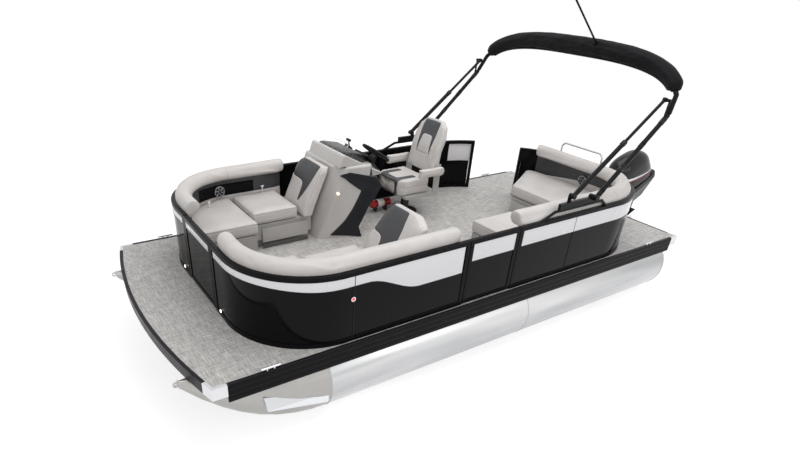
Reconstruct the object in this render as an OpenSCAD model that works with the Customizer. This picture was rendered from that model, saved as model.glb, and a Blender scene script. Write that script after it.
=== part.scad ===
// Pontoon boat: two aluminium tubes, a fenced deck with lounges and a helm,
// a folded bimini in its boot and an outboard motor trimmed up for parking.
// +X forward, +Y port, +Z up; the keels stand on Z = 0.

/* [Hull] */
// Overall beam across the rub rails
beam = 2590; // [2300:10:2900]
// Length of the straight deck side, from bow corner to stern
deck_len = 5490; // [5200:10:6600]
// How far the bow edge bulges ahead of the bow corners
bow_bulge = 170; // [80:5:260]
// Height of the deck surface above the keels
deck_top = 730; // [715:1:860]
// Thickness of the deck panel
deck_t = 22; // [15:1:30]
// Radius of a pontoon tube
tube_r = 317.5; // [260:0.5:320]
// Distance of a tube's axis from the centreline
tube_y = 958; // [860:1:965]
// Height of the keel strip under a tube
keel_h = 12; // [8:1:20]
// Length of a nose cone, from its weld to its blunt tip
nose_len = 1105; // [800:5:1300]
// Station of the weld between nose cone and tube, aft of the bow corners
nose_weld = 970; // [800:5:1200]
// Thickness of the rub rail
rail_t = 28; // [18:1:40]
// Height of the rub rail
rail_h = 95; // [70:1:110]
// Height of the skirt below the rub rail
skirt_h = 60; // [30:1:90]

/* [Fence] */
// Height of the fence above the deck
fence_h = 605; // [500:1:760]
// Distance of the fence's outer face from the centreline
fence_y = 1250; // [1200:1:1260]
// Station of the front of the fence
fence_front = 405; // [330:1:600]
// Radius of the fence's two bow corners
bow_r = 700; // [450:5:850]
// Station of the fence's stern wall
fence_stern = 4950; // [4800:5:5050]
// Radius of the fence's port stern corner
stern_r = 720; // [450:5:850]
// Width of the bow gate's opening
bow_gate_w = 640; // [560:5:700]
// Station of the fore side of the port gate's opening
side_gate_fore = 2280; // [2200:5:2400]
// Width of the port gate's opening
side_gate_w = 581; // [500:1:640]
// Side of the square fence tube
post = 36; // [28:1:42]

/* [Seating] */
// Height of the seat bases above the deck
base_h = 250; // [200:5:320]
// Thickness of the seat cushions
cushion_t = 140; // [90:5:160]
// Distance of the starboard lounge's front edge from the centreline
lounge_edge_starboard = 570; // [500:5:700]
// Distance of the port lounge's front edge from the centreline
lounge_edge_port = 420; // [380:5:600]
// Depth of the bolster roll
bolster_d = 155; // [90:5:180]
// Height that the bolster roll stands above the fence
bolster_rise = 115; // [20:5:160]
// Gap kept between soft pieces and what is beside them
soft_gap = 0.3; // [0.1:0.1:3]

/* [Helm] */
// Distance of the helm's middle from the centreline, to starboard
helm_y = 760; // [700:5:800]
// Station of the chair's post
chair_station = 3150; // [3100:5:3250]
// Height of the chair's seat above the deck
chair_seat_h = 460; // [400:5:560]
// Station of the steering wheel's hub
wheel_station = 2690; // [2650:5:2720]
// Height of the steering wheel's hub above the deck
wheel_h = 745; // [700:5:800]
// Diameter of the steering wheel
wheel_d = 340; // [300:5:380]

/* [Bimini] */
// Angle of the folded bimini's legs above the horizontal
bimini_angle = 42; // [38:1:60]
// How much steeper the bows stand at the crown than at the legs
bimini_curl = 8; // [0:1:12]
// Station of the bows' pivots
bows_station = 3780; // [3700:5:3850]
// Station of the struts' pivots
strut_station = 3510; // [3450:5:3560]
// Length of the straight legs, from the pivots up
leg_len = 1000; // [900:10:1100]
// Distance of the arch's crown from the pivots
crown_len = 1430; // [1350:10:1600]
// Diameter of the bow tubes
bow_tube = 44; // [25:1:50]
// Diameter of the folded canopy in its boot
boot_d = 190; // [140:5:240]
// Length of the light pole
pole_len = 720; // [400:10:900]

/* [Motor] */
// Angle at which the motor is trimmed up while the boat is parked
trim = 24; // [20:1:30]
// Distance of the tilt tube aft of the deck
tilt_aft = 514; // [400:1:600]
// Height of the tilt tube above the keels
tilt_z = 600; // [580:5:760]
// Depth of the propeller shaft below the tilt tube
shaft_drop = 570; // [540:5:580]
// Radius of the propeller
prop_r = 165; // [130:5:165]
// Length of the motor's cowl
cowl_len = 720; // [600:5:760]
// Width of the motor's cowl
cowl_w = 440; // [340:5:460]
// Height of the cowl's top above the tilt tube
cowl_top = 510; // [480:5:640]

/* [Hidden] */

$fn = 48;
half_beam = beam / 2;
// Reach of the bow eyes ahead of the bow corners
eye_reach = 180;
// Station of the origin, midway between the bow eyes and the motor's back
origin_station = 3264;
bow_x = origin_station;
stern_x = bow_x - deck_len;
// X of a station, counted aft from the bow corners
function st(d) = bow_x - d;

deck_bot = deck_top - deck_t;
tube_z = keel_h + tube_r;
tube_end = deck_len - 32;
bow_arc_r = (half_beam * half_beam + bow_bulge * bow_bulge) / (2 * bow_bulge);
bow_arc_x = bow_x + bow_bulge - bow_arc_r;
cap_len = 115;
member_z = tube_z + tube_r + 13;
member_w = 60;
member_count = 11;
member_first = 150;
riser_w = 170;

fence_top = deck_top + fence_h;
front_x = st(fence_front);
bow_cx = front_x - bow_r;
bow_cy = fence_y - bow_r;
gate_half = bow_gate_w / 2;
gate_fore_x = st(side_gate_fore);
gate_aft_x = gate_fore_x - side_gate_w;
stern_wall_x = st(fence_stern);
stern_cx = stern_wall_x + stern_r;
stern_cy = fence_y - stern_r;
// The stern wall's starboard end curves forward beside the walk-through
quarter_r = 530;
quarter_turn = 50;
quarter_y = -170;
// The starboard fence's aft end curves inboard on the walk-through's other side
aft_arc_r = 1000;
aft_arc_turn = 35;
aft_arc_x = st(3870);
top_rail_h = 36;
bottom_rail_h = 42;
rail_proud = 4;
skin_t = 6;
skin_face = -2;
gate_gap = 8;
gate_lift = 12;

seat_z = deck_top + base_h;
inner_y = fence_y - post;
pad_t = 60;
// Seats stay inboard of the bolster's pad
seat_inset = pad_t + 12;
corner_edge = gate_half + 40;
corner_aft = 1130;
lounge_fore = fence_front + post + 4;
port_lounge_aft = 2120;
console_front = 1800;
back_foot_port = 1700;
back_foot_starboard = 1660;
back_t = 115;
// Each lounge backrest: its lean, its rise and the corners cut from its inner and outer ends
port_back_lean = 270;
port_back_rise = 525;
port_back_cut = [[0, 200], [90, 460], [150, 525]];
port_back_end = [[170, 525], [0, 440]];
starboard_back_lean = 240;
starboard_back_rise = 530;
starboard_back_cut = [[0, 460], [20, 505], [70, 530]];
starboard_back_end = [[130, 530], [40, 480], [0, 390]];
bolster_inner = inner_y - soft_gap - bolster_d;
bolster_end = 30;
port_roll_aft = 2224;
stern_roll_fore = 2900;
// The stern roll stands further inboard, clear of the bimini's mounts
stern_roll_in = 30;
chaise_fore = 2990;
chaise_edge = 500;
bench_front = 4120;

// Profiles swept round the fence: x is the offset from the fence's outer face, y the height.
// A straight run starts at p, faces outward at angle a and runs towards a - 90.
module run(p, a, len)
    translate([p[0], p[1], 0]) rotate([0, 0, a]) rotate([90, 0, 0]) linear_extrude(len) children();
// A turn about c at radius r, from angle a0 to a1
module turn(c, a0, a1, r)
    translate([c[0], c[1], 0]) rotate([0, 0, a0]) rotate_extrude(angle = a1 - a0, $fn = 96)
        translate([r, 0]) children();

// Fence runs; trim_a and trim_b shorten the two ends
module along_bow_port(trim_a, aft_x) {
    run([front_x, bow_cy], 0, bow_cy - gate_half - trim_a) children();
    turn([bow_cx, bow_cy], 0, 90, bow_r) children();
    run([aft_x, fence_y], 90, bow_cx - aft_x) children();
}
module along_stern(fore_x, end_trim) {
    run([stern_cx, fence_y], 90, fore_x - stern_cx) children();
    turn([stern_cx, stern_cy], 90, 180, stern_r) children();
    run([stern_wall_x, quarter_y], 180, stern_cy - quarter_y) children();
    turn([stern_wall_x + quarter_r, quarter_y], 180, 180 + quarter_turn - end_trim, quarter_r) children();
}
module along_starboard(trim_a, aft_x) {
    run([front_x, -gate_half - trim_a], 0, bow_cy - gate_half - trim_a) children();
    turn([bow_cx, -bow_cy], -90, 0, bow_r) children();
    run([bow_cx, -fence_y], -90, bow_cx - aft_x) children();
}
module along_starboard_aft(end_trim)
    turn([aft_arc_x, -fence_y + aft_arc_r], -90, -90 - aft_arc_turn + end_trim, aft_arc_r) children();

module top_rail_section()
    translate([-post, fence_top - top_rail_h]) square([post + rail_proud, top_rail_h]);
module bottom_rail_section()
    translate([-post, deck_top]) square([post + rail_proud, bottom_rail_h]);
module skin_section()
    translate([skin_face - skin_t, deck_top + bottom_rail_h])
        square([skin_t, fence_h - bottom_rail_h - top_rail_h]);
module rail_sections() { top_rail_section(); bottom_rail_section(); }
module end_post_section() translate([-post, deck_top]) square([post + rail_proud, fence_h]);
// An inner post stands behind the skin
module inner_post_section()
    translate([-post + 1, deck_top + bottom_rail_h - 1])
        square([post - 1 + skin_face - skin_t - 0.3, fence_h - bottom_rail_h - top_rail_h + 2]);
module side_post(x, side)
    translate([x - post / 2, side > 0 ? fence_y - post : -fence_y + skin_t - skin_face + 0.3,
        deck_top + bottom_rail_h - 1])
        cube([post, post + skin_face - skin_t - 0.3, fence_h - bottom_rail_h - top_rail_h + 2]);

/* ---- hull ---- */
module outer_outline() intersection() {
    translate([stern_x, -half_beam]) square([deck_len + bow_bulge, beam]);
    translate([bow_arc_x, 0]) circle(r = bow_arc_r, $fn = 1200);
}
module plate_outline() intersection() {
    translate([stern_x + rail_t, -half_beam + rail_t])
        square([deck_len + bow_bulge - rail_t, beam - 2 * rail_t]);
    translate([bow_arc_x, 0]) circle(r = bow_arc_r - rail_t, $fn = 1200);
}
module rail_band() difference() { outer_outline(); plate_outline(); }

module pontoon(side) color("silver") translate([0, side * tube_y, 0]) {
    translate([st(tube_end), 0, tube_z]) rotate([0, 90, 0])
        cylinder(r = tube_r, h = tube_end - nose_weld, $fn = 96);
    translate([st(tube_end - 60), -30, 0]) cube([tube_end - 60 - nose_weld - 20, 60, keel_h + 6]);
}
module pontoon_port() pontoon(1);
module pontoon_starboard() pontoon(-1);

// A nose cone is the hull of upright oval slices: the keel line rises and the sides close in
nose_slices = 8;
function nose_bottom(t) = keel_h + 555 * pow(t, 2.3);
function nose_half(t) = tube_r * (1 - 0.93 * pow(t, 1.9));
nose_top = tube_z + tube_r;
nose_drop = 15;
module nose(side) translate([st(nose_weld), side * tube_y, 0]) hull()
    for (i = [0 : nose_slices]) {
        t = i / nose_slices;
        h = (nose_top - nose_drop * t - nose_bottom(t)) / 2;
        translate([nose_len * t - (i == 0 ? 0 : 4), 0, nose_bottom(t) + h])
            scale([1, nose_half(t) / tube_r, h / tube_r])
                rotate([0, 90, 0]) cylinder(r = tube_r, h = 4, $fn = 32);
    }
module nose_cones() color("silver") for (side = [-1, 1]) nose(side);

// A bow eye is a plate with a bore across the boat, welded on the nose's blunt tip
eye_r = 22;
eye_bore = 9;
eye_t = 12;
eye_z = 605;
nose_tip = nose_len - nose_weld;
module bow_eyes() color("silver") for (side = [-1, 1])
    translate([bow_x, side * tube_y, eye_z]) difference() {
        union() {
            translate([nose_tip, -20, -28]) cube([6, 40, 56]);
            translate([nose_tip + 5, -eye_t / 2, -eye_r])
                cube([eye_reach - eye_r - nose_tip - 5, eye_t, 2 * eye_r]);
            translate([eye_reach - eye_r, eye_t / 2, 0]) rotate([90, 0, 0])
                cylinder(r = eye_r, h = eye_t);
        }
        translate([eye_reach - eye_r, eye_t, 0]) rotate([90, 0, 0])
            cylinder(r = eye_bore, h = 2 * eye_t);
    }

// A spray strake is a wedge along the outboard side of the nose, cut to the nose's side
module spray_strakes() color("white") for (side = [-1, 1]) difference() {
    hull() {
        translate([st(955), side * (tube_y + tube_r - 22) - 8, 225]) cube([8, 16, 70]);
        translate([st(930), side * (tube_y + tube_r + 6) - 3, 225]) cube([8, 6, 8]);
        translate([st(420), side * (tube_y + tube_r - 4) - 4, 340]) cube([8, 8, 8]);
        translate([st(420), side * (tube_y + tube_r - 75) - 4, 360]) cube([8, 8, 60]);
    }
    nose(side);
}

// Risers seat on the tubes and carry the cross members
module riser(side) translate([st(tube_end - 80), 0, 0]) rotate([90, 0, 90])
    linear_extrude(tube_end - 80 - nose_weld - 20) difference() {
        translate([side * tube_y - riser_w / 2, tube_z]) square([riser_w, member_z + 2 - tube_z]);
        translate([side * tube_y, tube_z]) circle(r = tube_r + 0.3, $fn = 96);
    }
member_half = half_beam - rail_t - 6;
module underframe() color("silver") {
    for (side = [-1, 1]) riser(side);
    for (d = [member_first : (deck_len - 2 * member_first) / (member_count - 1) : deck_len])
        translate([st(d) - member_w / 2, -member_half, member_z])
            cube([member_w, 2 * member_half, deck_bot - member_z]);
}
module deck() color("gainsboro") translate([0, 0, deck_bot]) linear_extrude(deck_t) plate_outline();

rail_bot = deck_top - rail_h;
module rail_keep() {
    // side rails, bow rail and stern rail, cut short of the corner caps
    for (side = [-1, 1]) translate([stern_x + cap_len, side > 0 ? half_beam - 60 : -half_beam])
        square([deck_len - 2 * cap_len, 60]);
    translate([bow_x - 40, -half_beam + cap_len]) square([bow_bulge + 60, beam - 2 * cap_len]);
    translate([stern_x, -half_beam + cap_len]) square([60, beam - 2 * cap_len]);
}
module rub_rails() color("dimgray") {
    translate([0, 0, rail_bot]) linear_extrude(rail_h) intersection() { rail_band(); rail_keep(); }
    for (side = [-1, 1])
        translate([stern_x + cap_len, side * (half_beam - 10) - 4, rail_bot - skirt_h])
            cube([deck_len - 2 * cap_len, 8, skirt_h + 4]);
}
module corner_caps() color("lightgray") translate([0, 0, rail_bot - 2]) linear_extrude(rail_h + 4)
    for (side = [-1, 1]) {
        intersection() {
            rail_band();
            translate([bow_x - cap_len + 0.3, side > 0 ? half_beam - cap_len + 0.3 : -half_beam - 1])
                square([cap_len + 60, cap_len + 0.7]);
        }
        intersection() {
            rail_band();
            translate([stern_x - 1, side > 0 ? half_beam - cap_len + 0.3 : -half_beam - 1])
                square([cap_len + 0.7, cap_len + 0.7]);
        }
    }
cleat_stations = [450, 4960];
module cleats() color("lightgray") for (side = [-1, 1], d = cleat_stations)
    translate([st(d), side * (half_beam - rail_t / 2), deck_top]) {
        for (e = [-1, 1]) translate([e * 28, 0, 0]) cylinder(r = 8, h = 22);
        translate([-75, 0, 26]) rotate([0, 90, 0]) cylinder(r = 9, h = 150);
    }

/* ---- fence ---- */
port_bow_posts = [1105, 1650];
port_stern_posts = [3250, 3700, 4150];
starboard_posts = [1105, 1650, 2200, 2750, 3300, 3800];
hinge_r = 6;
hinge_barrel = 12;
hinge_gap = 0.08;
hinge_off = 14;
hinge_len = 60;
hinge_arm = 8.5;
hinge_heights = [140, 420];
bow_hinge = [front_x - post - hinge_off, gate_half - gate_gap / 2];
side_hinge = [gate_fore_x - gate_gap / 2, fence_y - post - hinge_off];

// A hinge pin on an arm that is fixed to the post; the leaf hangs on its -Y side
module hinge_pin() for (h = hinge_heights) translate([0, 0, deck_top + h]) {
    cylinder(r = hinge_r, h = hinge_len + 6);
    translate([0, 0, -8]) cylinder(r = hinge_arm, h = 8);
    translate([-hinge_arm, 0, -8]) cube([hinge_off + hinge_arm - 5, 30, 8]);
    translate([0, gate_gap / 2, -8]) cube([hinge_off + 1, 30 - gate_gap / 2, 8]);
}
// The matching barrel on the gate's stile
module hinge_barrels() for (h = hinge_heights) translate([0, 0, deck_top + h + 1])
    difference() {
        union() {
            cylinder(r = hinge_barrel, h = hinge_len);
            translate([0, -34, 0]) cube([hinge_off + 1, 34, hinge_len]);
        }
        translate([0, 0, -1]) cylinder(r = hinge_r + hinge_gap, h = hinge_len + 2);
    }
module place_bow_hinge() translate([bow_hinge[0], bow_hinge[1], 0]) children();
module place_side_hinge() translate([side_hinge[0], side_hinge[1], 0]) rotate([0, 0, 90])
    mirror([0, 1, 0]) children();

// A straight post across a curved fence's end, at angle a of the turn about c; side -1 turns it back
module curved_end_post(c, a, r, side) translate([c[0], c[1], deck_top]) rotate([0, 0, a])
    translate([r - post - 1, side > 0 ? -post + 4 : -4, 0]) cube([post + rail_proud + 2, post, fence_h + 1]);

module fence_port_bow() color("dimgray") {
    along_bow_port(0, gate_fore_x) rail_sections();
    run([front_x, gate_half + post], 0, post) end_post_section();
    run([gate_fore_x, fence_y], 90, post) end_post_section();
    turn([bow_cx, bow_cy], 44, 47, bow_r) inner_post_section();
    for (d = port_bow_posts) side_post(st(d), 1);
    place_bow_hinge() hinge_pin();
    place_side_hinge() hinge_pin();
}
module fence_port_stern() color("dimgray") {
    along_stern(gate_aft_x, 0) rail_sections();
    run([gate_aft_x - post, fence_y], 90, post) end_post_section();
    for (d = port_stern_posts) side_post(st(d), 1);
    turn([stern_cx, stern_cy], 134, 137, stern_r) inner_post_section();
    run([stern_wall_x, 0], 180, post) inner_post_section();
    run([stern_wall_x, stern_cy - post], 180, post) inner_post_section();
    curved_end_post([stern_wall_x + quarter_r, quarter_y], 180 + quarter_turn, quarter_r, 1);
}
module fence_starboard() color("dimgray") {
    along_starboard(0, aft_arc_x) rail_sections();
    along_starboard_aft(0) rail_sections();
    run([front_x, -gate_half], 0, post) end_post_section();
    for (d = starboard_posts) side_post(st(d), -1);
    turn([bow_cx, -bow_cy], -47, -44, bow_r) inner_post_section();
    curved_end_post([aft_arc_x, -fence_y + aft_arc_r], -90 - aft_arc_turn, aft_arc_r, -1);
}
end_gap = post + 0.3;
module skin_port_bow() color("black") along_bow_port(end_gap, gate_fore_x + end_gap) skin_section();
module skin_port_stern() color("black") along_stern(gate_aft_x - end_gap, 4.1) skin_section();
module skin_starboard() color("black") {
    along_starboard(end_gap, aft_arc_x) skin_section();
    along_starboard_aft(2.1) skin_section();
}

// A gate leaf of width w stands between two posts, lifted clear of the deck
module leaf_frame(w) {
    for (e = [0, w - post]) translate([e, 0, deck_top + gate_lift])
        cube([post, post + rail_proud, fence_h - gate_lift]);
    translate([0, 0, fence_top - top_rail_h]) cube([w, post + rail_proud, top_rail_h]);
    translate([0, 0, deck_top + gate_lift]) cube([w, post + rail_proud, bottom_rail_h - gate_lift]);
}
module leaf_skin(w) translate([post + 0.3, post + skin_face - skin_t, deck_top + bottom_rail_h + 0.3])
    cube([w - 2 * post - 0.6, skin_t, fence_h - bottom_rail_h - top_rail_h - 0.6]);
bow_leaf_w = bow_gate_w - 2 * gate_gap;
side_leaf_w = side_gate_w - 2 * gate_gap;
// The bow leaf runs across the boat with its outside forward
module place_bow_leaf() translate([front_x - post, gate_half - gate_gap, 0]) rotate([0, 0, -90])
    children();
module place_side_leaf() translate([gate_aft_x + gate_gap, fence_y - post, 0]) children();
module bow_gate() color("dimgray") {
    place_bow_leaf() leaf_frame(bow_leaf_w);
    place_bow_hinge() hinge_barrels();
}
module bow_gate_skin() color("black") place_bow_leaf() leaf_skin(bow_leaf_w);
module side_gate() color("dimgray") {
    place_side_leaf() leaf_frame(side_leaf_w);
    place_side_hinge() hinge_barrels();
}
module side_gate_skin() color("black") place_side_leaf() leaf_skin(side_leaf_w);

// Navigation lights stand on the fence's shoulders, courtesy lights low on its front
lamp_r = 20;
lamp_t = 12;
module lamps() color("white") for (side = [-1, 1]) {
    translate([st(1150), side * (fence_y + skin_face + lamp_t / 2), deck_top + 380]) rotate([90, 0, 0])
        cylinder(r = lamp_r, h = lamp_t, center = true);
    translate([front_x + skin_face, side * 450, deck_top + 62]) rotate([0, 90, 0])
        cylinder(r = lamp_r - 4, h = lamp_t);
}

/* ---- seating ---- */
// Plan of the space inside the fence, drawn in by g from its inner face
module inside_fence(g) {
    r_bow = bow_r - post - g;
    r_stern = stern_r - post - g;
    for (y = [-bow_cy, bow_cy]) translate([bow_cx, y]) circle(r = r_bow, $fn = 96);
    translate([bow_cx, -bow_cy]) square([r_bow, 2 * bow_cy]);
    translate([stern_cx, stern_cy]) circle(r = r_stern, $fn = 96);
    translate([stern_cx, -inner_y + g]) square([bow_cx - stern_cx, 2 * (inner_y - g)]);
    translate([stern_wall_x + post + g, quarter_y]) square([stern_r, stern_cy - quarter_y]);
    translate([stern_wall_x + quarter_r, quarter_y]) circle(r = quarter_r - post - g, $fn = 96);
}
// Plan of a bow lounge on the port side: a corner seat and a straight lounge
module lounge_plan(edge, g, inset, aft) intersection() {
    inside_fence(g);
    union() {
        translate([st(aft), edge + inset]) square([aft - lounge_fore, half_beam]);
        translate([st(corner_aft - inset), corner_edge + inset])
            square([corner_aft - inset - lounge_fore, half_beam]);
    }
}
module on_side(side) mirror([0, side > 0 ? 0 : 1, 0]) children();
kick_h = 90;
kick_in = 60;
base_in = 30;
module lounge_base(side, edge, aft) on_side(side) translate([0, 0, deck_top]) {
    linear_extrude(kick_h) lounge_plan(edge, 8, base_in + kick_in, aft);
    translate([0, 0, kick_h - 1]) linear_extrude(base_h - kick_h + 1)
        lounge_plan(edge, 8, base_in, aft);
}
module lounge_bases() color("tan") {
    lounge_base(1, lounge_edge_port, port_lounge_aft);
    lounge_base(-1, lounge_edge_starboard, console_front - 4);
}
seam = 6;
module lounge_seat(side, edge, aft) on_side(side) translate([0, 0, seat_z + soft_gap])
    linear_extrude(cushion_t) difference() {
        lounge_plan(edge, seat_inset, 0, aft);
        translate([st(corner_aft) - seam, 0]) square([seam, half_beam]);
    }
module lounge_seats() color("whitesmoke") {
    lounge_seat(1, lounge_edge_port, back_foot_port - seam);
    lounge_seat(-1, lounge_edge_starboard, back_foot_starboard - seam);
}
// Backrests lean aft; each is a slab from inner to outer, its front foot at a station
module seat_slab(side, foot, inner, outer, lean, rise, cut, end)
    translate([st(foot), 0, seat_z + soft_gap]) on_side(side) intersection() {
        translate([0, outer, 0]) rotate([90, 0, 0]) linear_extrude(outer - inner)
            polygon([[0, 0], [-lean, rise], [-lean - 0.8 * back_t, rise - 20], [-back_t, 0]]);
        translate([-lean - back_t, 0, 0]) rotate([90, 0, 90]) linear_extrude(lean + 2 * back_t)
            polygon(concat([[inner, -1]], [for (c = cut) [inner + c[0], c[1] + 1]],
                [for (c = end) [outer - c[0], c[1] + 1]], [[outer, -1]]));
    }
module lounge_backs() color("whitesmoke") {
    seat_slab(1, back_foot_port, lounge_edge_port + 10, bolster_inner - 8, port_back_lean,
        port_back_rise, port_back_cut, port_back_end);
    seat_slab(-1, back_foot_starboard, lounge_edge_starboard - 60, bolster_inner - 8,
        starboard_back_lean, starboard_back_rise, starboard_back_cut, starboard_back_end);
}

// The bolster is a roll over a slimmer pad, inside the fence; the roll is set inboard by shift
module bolster_section(shift) {
    roll_z = fence_top + bolster_rise - bolster_d / 2;
    translate([-post - soft_gap - bolster_d / 2 - shift, roll_z]) circle(d = bolster_d);
    translate([-post - soft_gap - pad_t, seat_z + soft_gap]) square([pad_t, roll_z - seat_z - soft_gap]);
}
module bolsters() color("whitesmoke") {
    run([front_x, bow_cy], 0, bow_cy - gate_half - bolster_end) bolster_section(0);
    turn([bow_cx, bow_cy], 0, 90, bow_r) bolster_section(0);
    run([st(port_roll_aft), fence_y], 90, bow_cx - st(port_roll_aft)) bolster_section(0);
    run([front_x, -gate_half - bolster_end], 0, bow_cy - gate_half - bolster_end) bolster_section(0);
    turn([bow_cx, -bow_cy], -90, 0, bow_r) bolster_section(0);
    run([bow_cx, -fence_y], -90, bow_cx - st(console_front - 50)) bolster_section(0);
    run([stern_cx, fence_y], 90, st(stern_roll_fore) - stern_cx) bolster_section(stern_roll_in);
    turn([stern_cx, stern_cy], 90, 180, stern_r) bolster_section(stern_roll_in);
    run([stern_wall_x, quarter_y], 180, stern_cy - quarter_y) bolster_section(stern_roll_in);
    turn([stern_wall_x + quarter_r, quarter_y], 180, 205, quarter_r) bolster_section(stern_roll_in);
}

// The stern bench has a chaise along the port side and a slanted starboard end
module stern_plan(g, inset) intersection() {
    inside_fence(g);
    polygon([[st(chaise_fore + inset), chaise_edge + inset], [st(chaise_fore + inset), half_beam],
        [stern_wall_x, half_beam], [stern_wall_x, -400 + inset], [st(4720), -400 + inset],
        [st(4420), -230 + inset], [st(bench_front + inset), -60 + inset],
        [st(bench_front + inset), chaise_edge + inset]]);
}
module stern_base() color("tan") translate([0, 0, deck_top]) {
    linear_extrude(kick_h) stern_plan(8, base_in + kick_in);
    translate([0, 0, kick_h - 1]) linear_extrude(base_h - kick_h + 1) stern_plan(8, base_in);
}
module stern_seat() color("whitesmoke") translate([0, 0, seat_z + soft_gap])
    linear_extrude(cushion_t) difference() {
        stern_plan(seat_inset, 0);
        translate([st(bench_front) - seam, 0]) square([seam, half_beam]);
        translate([st(3560) - seam, 0]) square([seam, half_beam]);
    }
// Round speakers on the bolster pads, at the starboard bow corner and on the stern wall
speaker_r = 58;
speaker_t = 18;
speaker_z = deck_top + 453;
speaker_turn = -82;
speaker_y = 355;
pad_face = post + soft_gap + pad_t;
module speakers() color("black") {
    translate([bow_cx, -bow_cy, speaker_z]) rotate([0, 90, speaker_turn])
        translate([0, 0, bow_r - pad_face - speaker_t - 3]) cylinder(r = speaker_r, h = speaker_t);
    translate([stern_wall_x + pad_face, speaker_y, speaker_z]) rotate([0, 90, 0])
        cylinder(r = speaker_r, h = speaker_t);
}

/* ---- helm ---- */
console_h = 750;
console_foot = [[0, -inner_y + 14], [0, -720], [-40, -520], [-470, -370], [-500, -420],
    [-500, -inner_y + 14]];
console_top = [[-230, -1150], [-230, -560], [-350, -430], [-600, -410], [-630, -450], [-630, -1150]];
console_z = deck_top + console_h;
module console() color("beige") hull() {
    translate([st(console_front), 0, deck_top]) linear_extrude(4) polygon(console_foot);
    translate([st(console_front), 0, console_z - 4]) linear_extrude(4) polygon(console_top);
}
dash_inner = 460;
dash_outer = 1100;
// The dash's side view; its face slopes down aft to the wheel
dash_fore = -2050;
dash_crest = [-2090, 1600];
dash_brow = [-2370, 1560];
dash_lip = [-2600, 1370];
dash_slope = atan2(dash_brow[1] - dash_lip[1], dash_brow[0] - dash_lip[0]);
// The wheel's axis points aft and up at the driver
wheel_tilt = 55;
wheel_r = 14;
shaft_r = 9;
column_r = 22;
column_low = 170;
module place_wheel() translate([st(wheel_station), -helm_y, deck_top + wheel_h])
    rotate([0, -(90 - wheel_tilt), 0]) children();
// A place on the dash's face, up from its middle
module on_dash(up, y) translate([bow_x, -y, 0]) translate([(dash_brow[0] + dash_lip[0]) / 2, 0,
    (dash_brow[1] + dash_lip[1]) / 2]) rotate([0, -dash_slope, 0]) translate([up, 0, 0]) children();
module dash() color("dimgray") {
    translate([bow_x, -dash_inner, 0]) rotate([90, 0, 0]) linear_extrude(dash_outer - dash_inner)
        polygon([[dash_fore, console_z], dash_crest, dash_brow, dash_lip,
            [dash_lip[0], dash_lip[1] - 40], [-2448, 1330], [-2448, console_z]]);
    place_wheel() {
        translate([0, 0, -column_low]) cylinder(r = column_r, h = column_low - 24);
        translate([0, 0, -26]) cylinder(r = shaft_r, h = 30);
    }
}
module display() color("black") on_dash(55, 620) translate([-65, -110, 0]) cube([130, 240, 24]);
module windscreen() color("gainsboro") translate([bow_x, -dash_inner - 30, 0]) rotate([90, 0, 0])
    linear_extrude(dash_outer - dash_inner - 60)
        polygon([[dash_crest[0] - 2, 1599.8], [dash_crest[0] - 9, 1598.8], [-2170, 1690], [-2163, 1690]]);
module steering_wheel() color("black") place_wheel() difference() {
    union() {
        rotate_extrude($fn = 96) translate([wheel_d / 2 - wheel_r, 0]) circle(r = wheel_r, $fn = 24);
        translate([0, 0, -18]) cylinder(r = 34, h = 26);
        for (a = [0, 120, 240]) rotate([0, 90, a]) translate([0, 0, 20])
            cylinder(r = 8, h = wheel_d / 2 - wheel_r - 20);
    }
    translate([0, 0, -19]) cylinder(r = shaft_r + 0.08, h = 28);
}
// The throttle's lever leans forward from a box on the dash's outboard end
throttle_box = [80, 50, 50];
lever_lean = 50;
lever_len = 70;
grip_w = 60;
module throttle() color("black") on_dash(0, 1030) {
    translate([-throttle_box[0] / 2, -throttle_box[1] / 2, 0]) cube(throttle_box);
    translate([0, 0, throttle_box[2] - 1]) rotate([0, lever_lean, 0]) {
        cylinder(r = 7, h = lever_len);
        translate([0, grip_w / 2, lever_len - 4]) rotate([90, 0, 0]) cylinder(r = 15, h = grip_w);
    }
}
// The extinguisher lies along the floor in two cradles, its valve forward
extinguisher_at = [2764, -900];
bottle_r = 42;
bottle_len = 260;
bottle_lift = 50;
neck_r = 14;
module extinguisher() color("red") translate([st(extinguisher_at[0]), extinguisher_at[1], deck_top]) {
    translate([-bottle_len, 0, bottle_lift + bottle_r]) rotate([0, 90, 0]) {
        cylinder(r = bottle_r, h = bottle_len);
        translate([0, 0, bottle_len - 1]) cylinder(r1 = bottle_r, r2 = neck_r, h = 30);
        translate([0, 0, bottle_len + 28]) cylinder(r = neck_r, h = 40);
    }
    for (x = [-210, -70]) translate([x, -30, 0]) cube([20, 60, bottle_lift + 12]);
}

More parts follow.
